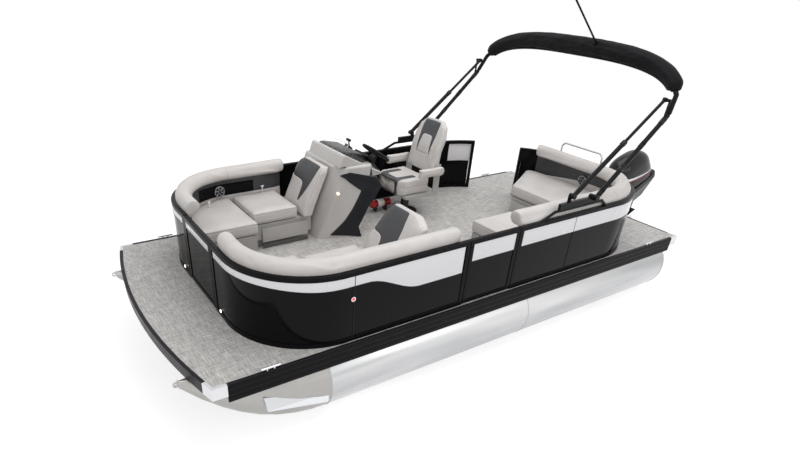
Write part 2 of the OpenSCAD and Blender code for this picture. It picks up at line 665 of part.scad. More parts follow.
// The chair turns on a spigot; its frame carries the back and the armrests
spigot_r = 20;
seat_t = 180;
seat_top = deck_top + chair_seat_h;
frame_t = 30;
plate_z = seat_top - seat_t - frame_t;
chair_half = 256;
module place_chair() translate([st(chair_station), -helm_y, 0]) children();
module chair_post() color("dimgray") place_chair() {
    translate([0, 0, deck_top]) cylinder(r = 150, h = 14);
    translate([0, 0, deck_top + 13]) cylinder(r = 48, h = plate_z - 62 - deck_top - 13);
    translate([0, 0, plate_z - 63]) cylinder(r = spigot_r, h = 78);
}
arm_x = -222;
arm_z = 1268;
arm_half_h = 58;
arm_pin_r = 8;
module chair_frame() color("dimgray") place_chair() {
    difference() {
        union() {
            translate([arm_x - 40, -chair_half - 12, plate_z])
                cube([200 - arm_x + 40, 2 * chair_half + 24, frame_t]);
            translate([0, 0, plate_z - 60]) cylinder(r = 38, h = 61);
        }
        translate([0, 0, plate_z - 61]) cylinder(r = spigot_r + 0.08, h = 80);
    }
    for (side = [-1, 1]) {
        translate([arm_x - 40, side * (chair_half + 6) - 6, plate_z])
            cube([80, 12, arm_z + arm_half_h - plate_z]);
        translate([arm_x, side * (chair_half + arm_w / 2 + 13), arm_z]) rotate([90, 0, 0])
            cylinder(r = arm_pin_r, h = arm_w + 4, center = true);
    }
}
seat_half = chair_half - 6;
module chair_seat() color("whitesmoke") place_chair()
    translate([0, 0, seat_top - seat_t]) linear_extrude(seat_t)
        polygon([[-150, -seat_half], [220, -seat_half], [300, 100 - seat_half], [300, seat_half - 100],
            [220, seat_half], [-150, seat_half]]);
chair_top = 1780;
back_half = chair_half - 0.3;
module chair_back() color("whitesmoke") place_chair() intersection() {
    translate([0, back_half, 0]) rotate([90, 0, 0]) linear_extrude(2 * back_half)
        polygon([[-155, seat_top + 5], [-205, 1480], [-320, chair_top], [-400, chair_top - 15],
            [-290, 1440], [-262, seat_top + 5]]);
    translate([-450, 0, 0]) rotate([90, 0, 90]) linear_extrude(450)
        polygon([[-back_half, plate_z], [-back_half, chair_top - 190], [-215, chair_top - 75],
            [-120, chair_top + 1], [120, chair_top + 1], [215, chair_top - 75],
            [back_half, chair_top - 190], [back_half, plate_z]]);
}
arm_gap = 12;
arm_w = 70;
arm_len = 300;
module armrest(side) color("whitesmoke") place_chair()
    translate([arm_x, side * (chair_half + arm_gap + 6 + arm_w / 2), arm_z]) difference() {
        union() {
            rotate([90, 0, 0]) cylinder(r = arm_half_h, h = arm_w, center = true);
            translate([0, -arm_w / 2, -arm_half_h + 1]) cube([arm_len, arm_w, 2 * arm_half_h - 4]);
        }
        rotate([90, 0, 0]) cylinder(r = arm_pin_r + 0.08, h = arm_w + 2, center = true);
    }
module armrest_port() armrest(1);
module armrest_starboard() armrest(-1);

/* ---- bimini ---- */
tube_r2 = bow_tube / 2;
bow_y = half_beam - 3 - tube_r2;
strut_r = 22;
lug_gap = 4;
strut_y = bow_y - tube_r2 - strut_r - 2 * lug_gap;
pivot_z = fence_top + 125;
strut_z = fence_top + 165;
bow_pin = 8;
strut_pin = 7;
arch_rail_r = 14;
arch_rail_z = fence_top + 60;
// Aft ends of the raised rails, port and starboard
arch_rail_aft = [4050, 3960];
box_y = fence_y - post / 2 - 5;
function tilt_at(s) = bimini_angle + bimini_curl * max(0, s - leg_len) / (crown_len - leg_len);
// A place on the folded bows, s along them from the pivots and up by h square to them
function on_bows(y, s, h) = [st(bows_station) - s * cos(tilt_at(s)) + h * sin(tilt_at(s)), y,
    pivot_z + s * sin(tilt_at(s)) + h * cos(tilt_at(s))];
arch_power = 2 / 3;
// The arch over the deck, a superellipse from the port leg (t = 0) to the starboard leg (t = 180)
function arch(t) = on_bows(bow_y * sign(cos(t)) * pow(abs(cos(t)), arch_power),
    leg_len + (crown_len - leg_len) * pow(sin(t), arch_power), 0);

// A round bar between two points
module bar(a, b, r) {
    d = b - a;
    translate(a) rotate([0, acos(d[2] / norm(d)), atan2(d[1], d[0])]) cylinder(r = r, h = norm(d));
}
// Bars in a row, with a slightly larger ball at each bend
module path(points, r) for (i = [1 : len(points) - 1]) {
    bar(points[i - 1], points[i], r);
    if (i < len(points) - 1) translate(points[i]) sphere(r = r + 1);
}
box_top = arch_rail_z + 64;
module bimini_mounts() color("black") for (i = [0, 1]) {
    side = 1 - 2 * i;
    rail_y = side * (fence_y - post / 2);
    intersection() {
        path([[st(3090), rail_y, fence_top - 20], [st(3290), rail_y, arch_rail_z],
            [st(arch_rail_aft[i] - 110), rail_y, arch_rail_z],
            [st(arch_rail_aft[i]), rail_y, fence_top - 20]], arch_rail_r);
        translate([st(4300), rail_y - 100, fence_top]) cube([1500, 200, 400]);
    }
    translate([st(3850), side * box_y - 14, arch_rail_z + 2]) cube([510, 28, 62]);
    // The bow's lug and pin, outboard of the box
    translate([st(bows_station), side * (bow_y - tube_r2 - lug_gap), pivot_z])
        rotate([side * -90, 0, 0]) {
            translate([0, 0, -40]) cylinder(r = 24, h = 40);
            translate([0, 0, -1]) cylinder(r = bow_pin, h = 2 * tube_r2 + lug_gap + 1);
        }
    // The strut's lug and pin, inboard of the strut
    translate([st(strut_station), side * (strut_y - strut_r - lug_gap), strut_z])
        rotate([side * -90, 0, 0]) {
            translate([0, 0, -8]) cylinder(r = 24, h = 8);
            cylinder(r = strut_pin, h = 2 * strut_r + lug_gap);
        }
    translate([st(strut_station) - 24, side * (strut_y - strut_r - lug_gap - 4) - 4, box_top - 20])
        cube([48, 8, strut_z - box_top + 20]);
    translate([st(strut_station) - 24, side * (strut_y - strut_r / 2) - 22, box_top - 20])
        cube([48, 36, 14]);
}
strut_eye = on_bows(0, leg_len + 60, 100);
strut_foot = [st(strut_station), 0, strut_z];
strut_len = norm(strut_eye - strut_foot);
strut_angle = atan2(strut_eye[2] - strut_foot[2], strut_foot[0] - strut_eye[0]);
strut_tube_len = 700;
rod_r = 15;
rod_in = 420;
function leg_points(side) = [on_bows(side * bow_y, 0, 0), on_bows(side * bow_y, leg_len, 0)];
module bimini_bows() color("black") {
    for (side = [-1, 1]) {
        difference() {
            union() {
                bar(leg_points(side)[0], leg_points(side)[1], tube_r2);
                translate(leg_points(side)[0]) rotate([90, 0, 0])
                    cylinder(r = 28, h = 2 * tube_r2, center = true);
            }
            translate(leg_points(side)[0]) rotate([90, 0, 0])
                cylinder(r = bow_pin + 0.08, h = 60, center = true);
        }
        // Lug that holds the strut's eye, with its short pin
        bar(on_bows(side * bow_y, leg_len - 60, 5), [0, side * bow_y, 0] + strut_eye, 10);
        translate([0, side * (bow_y - 9), 0] + strut_eye) rotate([90, 0, 0])
            cylinder(r = 14, h = 36, center = true);
    }
}
// The arch's tube runs inside the folded canopy, from leg to leg
arch_step = 15;
arch_points = concat([on_bows(bow_y, leg_len + tube_r2 + 0.2, 0)],
    [for (t = [arch_step : arch_step : 180 - arch_step]) arch(t)],
    [on_bows(-bow_y, leg_len + tube_r2 + 0.2, 0)]);
module arch_tube(r) for (i = [1 : len(arch_points) - 1]) hull() {
    translate(arch_points[i - 1]) sphere(r = r, $fn = 24);
    translate(arch_points[i]) sphere(r = r, $fn = 24);
}
module bimini_arch() color("black") arch_tube(tube_r2);
// Struts lie along their own line; x runs from the foot to the eye
module along_strut(side) translate([strut_foot[0], side * strut_y, strut_foot[2]])
    rotate([0, 180 + strut_angle, 0]) rotate([180, 0, 0]) children();
module bimini_struts() color("black") for (side = [-1, 1]) along_strut(side) difference() {
    union() {
        rotate([90, 0, 0]) cylinder(r = 24, h = 2 * strut_r, center = true);
        rotate([0, 90, 0]) cylinder(r = strut_r, h = strut_tube_len);
    }
    rotate([90, 0, 0]) cylinder(r = strut_pin + 0.08, h = 2 * strut_r + 4, center = true);
    translate([60, 0, 0]) rotate([0, 90, 0]) cylinder(r = rod_r + 0.08, h = strut_tube_len);
}
module bimini_rods() color("silver") for (side = [-1, 1]) along_strut(side) difference() {
    union() {
        translate([strut_tube_len - rod_in, 0, 0]) rotate([0, 90, 0])
            cylinder(r = rod_r, h = strut_len - strut_tube_len + rod_in);
        translate([strut_len, 0, 0]) rotate([90, 0, 0]) cylinder(r = 20, h = 2 * rod_r, center = true);
    }
    translate([strut_len, 0, 0]) rotate([90, 0, 0]) cylinder(r = 7, h = 2 * rod_r + 4, center = true);
}
boot_steps = 20;
boot_ends = 22;
function boot_arc(i) = boot_ends + (180 - 2 * boot_ends) * i / boot_steps;
function boot_r(i) = boot_d / 2 * (0.72 + 0.28 * pow(sin(180 * i / boot_steps), 0.5));
module boot_skin() for (i = [0 : boot_steps - 1]) hull() for (k = [i, i + 1])
    translate(arch(boot_arc(k))) sphere(r = boot_r(k), $fn = 20);
module bimini_boot() color("black") difference() {
    boot_skin();
    arch_tube(tube_r2 + 0.6);
}
pole_y = 240;
pole_s = leg_len + (crown_len - leg_len) * pow(sin(acos(pow(pole_y / bow_y, 1 / arch_power))), arch_power);
module light_pole() color("black") {
    foot = on_bows(pole_y, pole_s, boot_d / 2 - 0.5);
    translate(foot) rotate([0, tilt_at(pole_s), 0]) {
        cylinder(r = 24, h = 22);
        cylinder(r = 9, h = pole_len);
        translate([0, 0, pole_len - 1]) cylinder(r = 17, h = 50);
    }
}
module stern_rail() color("silver") {
    x = stern_wall_x + post / 2;
    path([[x, -95, fence_top], [x, -95, fence_top + 130], [x, -60, fence_top + 165],
        [x, 430, fence_top + 165], [x, 465, fence_top + 130], [x, 465, fence_top]], 12);
    for (y = [-95, 465]) translate([x, y, fence_top]) cylinder(r = 18, h = 6);
}

/* ---- motor ---- */
tilt_x = st(deck_len + tilt_aft);
pod_half = 250;
transom_top = tilt_z - 20;
transom_x = tilt_x + 70;
module motor_pod() color("silver") translate([0, pod_half, 0]) rotate([90, 0, 0])
    linear_extrude(2 * pod_half)
        polygon([[st(4650), member_z], [st(4950), 330], [transom_x, 300], [transom_x, transom_top],
            [transom_x + 60, transom_top], [transom_x + 60, member_z - 50], [stern_x + 40, member_z - 50],
            [stern_x + 40, member_z]]);
// The motor is drawn upright about its tilt tube, then trimmed up
module trimmed() translate([tilt_x, 0, tilt_z]) rotate([0, trim, 0]) children();
tilt_tube_r = 14;
clamp_y = 110;
module motor_clamp() color("black") {
    for (side = [-1, 1]) {
        translate([tilt_x, side * clamp_y, tilt_z]) rotate([90, 0, 0])
            cylinder(r = 34, h = 24, center = true);
        translate([tilt_x - 20, side * clamp_y - 12, tilt_z - 300]) cube([90, 24, 300]);
    }
    translate([tilt_x, 0, tilt_z]) rotate([90, 0, 0])
        cylinder(r = tilt_tube_r, h = 2 * clamp_y, center = true);
}
steer_x = -105;
swivel_r = 36;
steer_pin_r = 18;
module motor_swivel() color("black") trimmed() difference() {
    union() {
        rotate([90, 0, 0]) cylinder(r = 32, h = 2 * clamp_y - 36, center = true);
        translate([steer_x, -60, -40]) cube([-steer_x, 120, 60]);
        translate([steer_x, 0, -330]) cylinder(r = swivel_r, h = 370);
        translate([steer_x, -14, -300]) cube([70, 28, 270]);
    }
    rotate([90, 0, 0]) cylinder(r = tilt_tube_r + 0.08, h = 2 * clamp_y, center = true);
    translate([steer_x, 0, -331]) cylinder(r = steer_pin_r + 0.08, h = 372);
}
plate_drop = 400;
gear_r = 58;
shaft_hub = 12;
prop_fore = -358;
gear_len = 190;
skeg_low = -740;
prop_len = 110;
module motor_leg() color("black") trimmed() {
    translate([steer_x, 0, -372]) cylinder(r = steer_pin_r, h = 440);
    translate([-178, -50, 46]) cube([108, 100, 26]);
    translate([-210, -40, -372]) cube([140, 80, 36]);
    hull() {
        translate([-260, 0, -372]) cylinder(r = 60, h = 10);
        translate([-450, 0, -372]) cylinder(r = 40, h = 10);
        translate([-230, 0, -210]) cylinder(r = 75, h = 10);
        translate([-500, 0, -210]) cylinder(r = 60, h = 10);
    }
    translate([-178, -50, -212]) cube([26, 100, 260]);
    hull() {
        translate([-200, 0, -shaft_drop]) cylinder(r = 40, h = 200);
        translate([-335, 0, -shaft_drop]) cylinder(r = 14, h = 200);
        translate([-150, 0, -plate_drop + 20]) cylinder(r = 24, h = 20);
    }
    translate([-470, -95, -plate_drop]) cube([330, 190, 8]);
    translate([prop_fore + 4, 0, -shaft_drop]) rotate([0, 90, 0]) cylinder(r = gear_r, h = gear_len);
    translate([prop_fore + gear_len + 4, 0, -shaft_drop]) rotate([0, 90, 0])
        cylinder(r1 = gear_r, r2 = 12, h = 90);
    translate([prop_fore - prop_len, 0, -shaft_drop]) rotate([0, 90, 0])
        cylinder(r = shaft_hub, h = prop_len + 10);
    translate([0, 5, 0]) rotate([90, 0, 0]) linear_extrude(10)
        polygon([[-180, -shaft_drop - 40], [-255, skeg_low], [-330, skeg_low], [-340, -shaft_drop - 40]]);
}
pan_fore = -170;
module motor_pan() color("black") trimmed() hull() {
    translate([pan_fore - 60, 0, 74]) cylinder(r = 1, h = 6);
    for (side = [-1, 1]) {
        translate([pan_fore - 90, side * (cowl_w / 2 - 100), 20]) cylinder(r = 80, h = 60);
        translate([20 - cowl_len, side * (cowl_w / 2 - 120), 20]) cylinder(r = 80, h = 60);
        translate([-300, side * 60, -200]) cylinder(r = 60, h = 10);
        translate([-560, side * 50, -200]) cylinder(r = 60, h = 10);
    }
}

module cowl_shape(inset) hull() {
    for (side = [-1, 1]) {
        translate([-150 - inset, side * (cowl_w / 2 - 90 - inset), 80]) cylinder(r = 30, h = 1);
        translate([-cowl_len + 30 + inset, side * (cowl_w / 2 - 130 - inset), 80]) cylinder(r = 90, h = 1);
        translate([-160 - inset, side * (cowl_w / 2 - 90 - inset), cowl_top - 250])
            sphere(r = 40, $fn = 32);
        translate([-cowl_len + 90 + inset, side * (cowl_w / 2 - 150 - inset), cowl_top - 230 - inset])
            sphere(r = 110, $fn = 32);
        translate([-250 - inset, side * 70, cowl_top - 80 - inset]) sphere(r = 80, $fn = 32);
        translate([-cowl_len + 160 + inset, side * 60, cowl_top - 110 - inset]) sphere(r = 100, $fn = 32);
    }
}
wall_t = 12;
module motor_cowl() color("black") trimmed() difference() {
    cowl_shape(0);
    translate([0, 0, -1]) cowl_shape(wall_t);
}
module engine_block() color("gray") trimmed() translate([-540, -110, 80]) cube([280, 220, 290]);
blade_count = 3;
module propeller() color("black") trimmed() translate([prop_fore, 0, -shaft_drop]) rotate([0, -90, 0])
    difference() {
        union() {
            cylinder(r = 48, h = prop_len);
            for (i = [0 : blade_count - 1]) rotate([0, 0, 360 / blade_count * i]) hull() {
                translate([40, 0, prop_len / 2]) rotate([0, 0, 0]) rotate([35, 0, 0])
                    cube([4, 8, 90], center = true);
                translate([prop_r * 0.7, 0, prop_len / 2]) rotate([25, 0, 0])
                    cube([4, 5, 105], center = true);
                translate([prop_r - 6, 0, prop_len / 2]) rotate([20, 0, 0])
                    cube([4, 4, 50], center = true);
            }
        }
        translate([0, 0, -1]) cylinder(r = shaft_hub + 0.08, h = prop_len + 2);
    }

pontoon_port();
pontoon_starboard();
nose_cones();
bow_eyes();
spray_strakes();
underframe();
deck();
rub_rails();
corner_caps();
cleats();
fence_port_bow();
fence_port_stern();
fence_starboard();
skin_port_bow();
skin_port_stern();
skin_starboard();
bow_gate();
bow_gate_skin();
side_gate();
side_gate_skin();
lamps();
lounge_bases();
lounge_seats();
lounge_backs();
bolsters();
stern_base();
stern_seat();
speakers();
console();
dash();
display();
windscreen();
steering_wheel();
throttle();
extinguisher();
chair_post();
chair_frame();
chair_seat();
chair_back();
armrest_port();
armrest_starboard();
bimini_mounts();
bimini_bows();
bimini_arch();
bimini_struts();
bimini_rods();
bimini_boot();
light_pole();
stern_rail();
motor_pod();
motor_clamp();
motor_swivel();
motor_leg();
motor_pan();
motor_cowl();
engine_block();
propeller();
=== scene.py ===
import math

import bmesh
import bpy
import numpy as np
from mathutils import Matrix, Vector


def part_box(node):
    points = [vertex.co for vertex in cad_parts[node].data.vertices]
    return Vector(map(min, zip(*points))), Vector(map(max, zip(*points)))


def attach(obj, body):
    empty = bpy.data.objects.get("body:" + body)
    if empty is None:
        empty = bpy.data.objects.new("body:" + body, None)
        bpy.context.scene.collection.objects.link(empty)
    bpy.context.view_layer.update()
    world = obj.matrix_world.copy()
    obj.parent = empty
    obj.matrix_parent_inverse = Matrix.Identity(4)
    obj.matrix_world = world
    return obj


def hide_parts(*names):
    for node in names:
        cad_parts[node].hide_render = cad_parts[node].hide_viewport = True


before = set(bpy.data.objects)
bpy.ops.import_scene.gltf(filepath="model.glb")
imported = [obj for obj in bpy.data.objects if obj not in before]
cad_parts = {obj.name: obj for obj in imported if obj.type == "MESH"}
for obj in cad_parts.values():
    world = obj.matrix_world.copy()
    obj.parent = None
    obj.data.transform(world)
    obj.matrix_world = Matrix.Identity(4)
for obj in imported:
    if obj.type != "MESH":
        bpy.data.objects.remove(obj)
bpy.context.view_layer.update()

# ---------------------------------------------------------------- studio
# A plain white studio: one big softbox overhead, one from the port bow, a matt floor that keeps
# the boat's shadow, and the camera standing high off the port bow.

camera_place = (4.0819, 4.2390, 3.2221)
camera_turn = math.radians(236.590)
camera_dip = math.radians(-32.900)
camera_roll = math.radians(2.454)
camera_lens = 25.107
camera_shift = (0.0595, 0.1209)

ahead = np.array([math.cos(camera_turn) * math.cos(camera_dip),
                  math.sin(camera_turn) * math.cos(camera_dip), math.sin(camera_dip)])
level = np.cross(ahead, [0, 0, 1])
level /= np.linalg.norm(level)
upright = np.cross(level, ahead)
right = level * math.cos(camera_roll) + upright * math.sin(camera_roll)
above = upright * math.cos(camera_roll) - level * math.sin(camera_roll)
camera = bpy.data.objects.new("camera", bpy.data.cameras.new("camera"))
bpy.context.collection.objects.link(camera)
camera.matrix_world = Matrix((
    (right[0], above[0], -ahead[0], camera_place[0]),
    (right[1], above[1], -ahead[1], camera_place[1]),
    (right[2], above[2], -ahead[2], camera_place[2]),
    (0, 0, 0, 1)))
camera.data.lens = camera_lens
camera.data.shift_x, camera.data.shift_y = camera_shift
camera.data.clip_end = 200
bpy.context.scene.camera = camera
bpy.context.scene.view_settings.view_transform = "Standard"


def softbox(name, place, target, size, power):
    """A rectangular area light at place, facing target."""
    lamp = bpy.data.objects.new(name, bpy.data.lights.new(name, "AREA"))
    bpy.context.collection.objects.link(lamp)
    lamp.location = place
    lamp.rotation_mode = "QUATERNION"
    lamp.rotation_quaternion = (Vector(target) - Vector(place)).to_track_quat("-Z", "Y")
    lamp.data.shape = "RECTANGLE"
    lamp.data.size, lamp.data.size_y = size
    lamp.data.energy = power


softbox("softbox_top", (-0.5, 0.5, 7.5), (0, 0, 0), (9, 6), 300)
softbox("softbox_bow", (8, 6, 4.5), (0, 0, 0.8), (4, 4), 120)
softbox("softbox_port", (-3, 9, 3.0), (-1, 0, 0.6), (8, 3), 80)


def seen_directly(nodes, links):
    """1 for a ray from the camera, through glass or off a glossy surface, and 0 for any other."""
    rays = nodes.new("ShaderNodeLightPath")
    last = rays.outputs["Is Camera Ray"]
    for kind in ("Is Transmission Ray", "Is Glossy Ray"):
        most = nodes.new("ShaderNodeMath")
        most.operation = "MAXIMUM"
        links.new(last, most.inputs[0])
        links.new(rays.outputs[kind], most.inputs[1])
        last = most.outputs[0]
    return last


backdrop_light, backdrop_white = 0.55, 1.0
world = bpy.data.worlds.new("studio")
bpy.context.scene.world = world
world.use_nodes = True
nodes, links = world.node_tree.nodes, world.node_tree.links
nodes.clear()
pick = nodes.new("ShaderNodeMixShader")
links.new(seen_directly(nodes, links), pick.inputs[0])
for k, strength in enumerate((backdrop_light, backdrop_white)):
    sky = nodes.new("ShaderNodeBackground")
    sky.inputs["Color"].default_value = (1, 1, 1, 1)
    sky.inputs["Strength"].default_value = strength
    links.new(sky.outputs[0], pick.inputs[k + 1])
out = nodes.new("ShaderNodeOutputWorld")
links.new(pick.outputs[0], out.inputs[0])

floor_half, floor_grey, floor_glow = 60, (0.62, 0.62, 0.63, 1), 0.66
floor_mesh = bpy.data.meshes.new("floor")
floor_mesh.from_pydata([(-floor_half, -floor_half, 0), (floor_half, -floor_half, 0),
                        (floor_half, floor_half, 0), (-floor_half, floor_half, 0)], [], [(0, 1, 2, 3)])
floor = bpy.data.objects.new("floor", floor_mesh)
bpy.context.collection.objects.link(floor)
paint = bpy.data.materials.new("studio_floor")
paint.use_nodes = True
nodes, links = paint.node_tree.nodes, paint.node_tree.links
nodes.clear()
matt = nodes.new("ShaderNodeBsdfDiffuse")
matt.inputs["Color"].default_value = floor_grey
glow = nodes.new("ShaderNodeEmission")
glow.inputs["Color"].default_value = (1, 1, 1, 1)
lift = nodes.new("ShaderNodeMath")
lift.operation = "MULTIPLY"
lift.inputs[1].default_value = floor_glow
total = nodes.new("ShaderNodeAddShader")
out = nodes.new("ShaderNodeOutputMaterial")
links.new(seen_directly(nodes, links), lift.inputs[0])
links.new(lift.outputs[0], glow.inputs["Strength"])
links.new(matt.outputs[0], total.inputs[0])
links.new(glow.outputs[0], total.inputs[1])
links.new(total.outputs[0], out.inputs[0])
floor.data.materials.append(paint)

# ---------------------------------------------------------------- pontoons
# Two welded aluminium tubes with a bright mill finish. Each is rolled from sheets, so it shows
# weld rings where the sheets meet, and it ends in a brushed nose cone and a pressed end cap.

tube_low, tube_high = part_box("pontoon_port")
tube_radius = (tube_high.y - tube_low.y) / 2
tube_axis_y = (tube_high.y + tube_low.y) / 2
tube_axis_z = tube_high.z - tube_radius
weld_steps = 3


def finish(name, colour, roughness, metallic=0.0):
    """A new material: its Principled shader with a plain colour, and its nodes to build on."""
    made = bpy.data.materials.new(name)
    made.use_nodes = True
    shader = made.node_tree.nodes["Principled BSDF"]
    shader.inputs["Base Color"].default_value = (*colour, 1)
    shader.inputs["Roughness"].default_value = roughness
    shader.inputs["Metallic"].default_value = metallic
    return made, made.node_tree.nodes, made.node_tree.links, shader


def grain(made, scale, stretch=(1, 1, 1), detail=4.0, space="Object"):
    """A noise pattern in the piece's own coordinates, drawn out by stretch along each axis."""
    nodes, links = made.node_tree.nodes, made.node_tree.links
    place = nodes.new("ShaderNodeTexCoord")
    turn = nodes.new("ShaderNodeMapping")
    turn.inputs["Scale"].default_value = stretch
    noise = nodes.new("ShaderNodeTexNoise")
    noise.inputs["Scale"].default_value = scale
    noise.inputs["Detail"].default_value = detail
    links.new(place.outputs[space], turn.inputs["Vector"])
    links.new(turn.outputs["Vector"], noise.inputs["Vector"])
    return noise.outputs["Fac"]


def spread(made, factor, low, high, to):
    """Maps a 0 to 1 pattern onto low to high, and feeds it to a socket of the shader."""
    nodes, links = made.node_tree.nodes, made.node_tree.links
    span = nodes.new("ShaderNodeMapRange")
    span.inputs["From Min"].default_value = 0.3
    span.inputs["From Max"].default_value = 0.7
    span.inputs["To Min"].default_value = low
    span.inputs["To Max"].default_value = high
    links.new(factor, span.inputs["Value"])
    links.new(span.outputs["Result"], nodes["Principled BSDF"].inputs[to])
    return span.outputs["Result"]


def tint(made, factor, dark, light):
    """Blends two colours by a 0 to 1 pattern into the shader's base colour."""
    nodes, links = made.node_tree.nodes, made.node_tree.links
    ramp = nodes.new("ShaderNodeValToRGB")
    ramp.color_ramp.elements[0].position = 0.3
    ramp.color_ramp.elements[0].color = (*dark, 1)
    ramp.color_ramp.elements[1].position = 0.7
    ramp.color_ramp.elements[1].color = (*light, 1)
    links.new(factor, ramp.inputs["Fac"])
    links.new(ramp.outputs["Color"], nodes["Principled BSDF"].inputs["Base Color"])
    return ramp.outputs["Color"]


def relief(made, height, strength, distance):
    """Raises the surface by a pattern, as bump."""
    nodes, links = made.node_tree.nodes, made.node_tree.links
    bump = nodes.new("ShaderNodeBump")
    bump.inputs["Strength"].default_value = strength
    bump.inputs["Distance"].default_value = distance
    links.new(height, bump.inputs["Height"])
    links.new(bump.outputs["Normal"], nodes["Principled BSDF"].inputs["Normal"])
    return bump


def coated(name, colour, roughness, metallic=0.0, shades=None, uneven=None, bumps=None,
           **sockets):
    """A new material with noise patterns: shades is (grain, dark, light), uneven is (grain, low,
    high) for its roughness, and bumps is (grain, strength, distance). Each grain is a scale, or
    the scale, stretch and detail of a noise. The sockets are set by their short names."""
    made, nodes, links, shader = finish(name, colour, roughness, metallic)
    titles = {"specular": "Specular IOR Level", "coat": "Coat Weight", "sheen": "Sheen Weight",
              "clear": "Transmission Weight", "ior": "IOR"}
    for short, value in sockets.items():
        shader.inputs[titles[short]].default_value = value

    def noise(settings):
        return grain(made, *(settings if isinstance(settings, tuple) else (settings,)))

    if shades:
        tint(made, noise(shades[0]), *shades[1:])
    if uneven:
        spread(made, noise(uneven[0]), *uneven[1:], "Roughness")
    if bumps:
        relief(made, noise(bumps[0]), *bumps[1:])
    return made


def wear(node, made):
    """Gives a CAD node a finish."""
    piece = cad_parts[node]
    piece.data.materials.clear()
    piece.data.materials.append(made)
    return piece


def shape(name, points, faces, made, body, smooth=True, tidy=True):
    """A finished piece from its points and faces, riding on a body."""
    mesh = bpy.data.meshes.new(name)
    mesh.from_pydata([tuple(p) for p in np.asarray(points, float).reshape(-1, 3)], [],
                     [tuple(int(i) for i in f) for f in faces])
    if tidy:
        b = bmesh.new()
        b.from_mesh(mesh)
        bmesh.ops.remove_doubles(b, verts=b.verts, dist=1e-6)
        bmesh.ops.recalc_face_normals(b, faces=b.faces)
        b.to_mesh(mesh)
        b.free()
    mesh.polygons.foreach_set("use_smooth", np.full(len(mesh.polygons), smooth))
    if smooth:
        mesh.set_sharp_from_angle(angle=math.radians(38))
    mesh.materials.append(made)
    piece = bpy.data.objects.new(name, mesh)
    bpy.context.collection.objects.link(piece)
    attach(piece, body)
    return piece


def cells(rows, columns, ring_rows=False, ring_columns=False, start=0):
    """The quads between neighbouring points of a grid, whose rows or columns may close on themselves."""
    r = np.arange(rows if ring_rows else rows - 1)
    c = np.arange(columns if ring_columns else columns - 1)
    r, c = [a.ravel() for a in np.meshgrid(r, c, indexing="ij")]
    r2, c2 = (r + 1) % rows, (c + 1) % columns
    return (np.stack([r * columns + c, r * columns + c2, r2 * columns + c2, r2 * columns + c], 1)
            + start).tolist()


def tube_skin(grids, closed_ends=True):
    """Points and faces of several closed-section grids (rows, columns, 3), their ends closed by fans."""
    points, faces = [], []
    for grid in grids:
        rows, columns = grid.shape[:2]
        start = len(points)
        points += grid.reshape(-1, 3).tolist()
        faces += cells(rows, columns, ring_columns=True, start=start)
        if closed_ends:
            for row in (0, rows - 1):
                middle = len(points)
                points.append(grid[row].mean(0).tolist())
                ring = start + row * columns + np.arange(columns)
                faces += np.stack([ring, np.roll(ring, -1), np.full(columns, middle)], 1).tolist()
    return points, faces


def circle_of(count):
    """Angles of a full turn."""
    return np.linspace(0, 2 * math.pi, count, endpoint=False)


mill, nodes, links, shader = finish("mill_aluminium", (0.56, 0.56, 0.565), 0.30, 1.0)
cloud = grain(mill, 1.6, (0.5, 1, 1.6), 3)
spread(mill, cloud, 0.20, 0.42, "Roughness")
# The base colour is blended from dark to light grey by a noise drawn out along the tubes and squeezed up
# their height: painted reflection bands on the round tubes.
tint(mill, grain(mill, 1.2, (0.35, 1.5, 3.2), 2), (0.34, 0.345, 0.355), (0.66, 0.66, 0.66))
scratch = grain(mill, 90, (0.05, 1, 1), 2)
relief(mill, scratch, 0.10, 0.002)
for node in ("pontoon_port", "pontoon_starboard"):
    wear(node, mill)

weld = coated("weld_bead", (0.48, 0.49, 0.5), 0.42, 1.0, bumps=((260, (1, 1, 1), 2), 0.5, 0.002))
for side, label in ((1, "port"), (-1, "starboard")):
    rings = []
    for x in np.linspace(tube_high.x - 0.006, tube_low.x + 0.02, weld_steps):
        a, b = np.meshgrid(circle_of(128), circle_of(8), indexing="ij")
        reach = tube_radius + 0.0035 * np.cos(b)
        rings.append(np.stack([x + 0.006 * np.sin(b), side * tube_axis_y + reach * np.cos(a),
                               tube_axis_z + reach * np.sin(a)], -1))
    points, faces = [], []
    for ring in rings:
        faces += cells(128, 8, True, True, len(points))
        points += ring.reshape(-1, 3).tolist()
    shape("weld_rings_" + label, points, faces, weld, "boat")

brushed = coated("brushed_nose", (0.4, 0.39, 0.375), 0.3, 1.0, uneven=(3.0, 0.26, 0.44),
                 bumps=((160, (0.08, 1, 1), 3), 0.22, 0.003))
bright = coated("bright_strake", (0.7, 0.71, 0.73), 0.22, 1.0,
                bumps=((120, (0.1, 1, 1), 2), 0.12, 0.002))
wear("nose_cones", brushed)
wear("spray_strakes", bright)
wear("bow_eyes", mill)
wear("underframe", mill)

# ---------------------------------------------------------------- deck
# The plywood deck is covered in woven vinyl, light grey-beige with fine cross streaks. A dark
# extruded trim closes its edge, and a ribbed rub rail runs down both sides over a plain skirt.

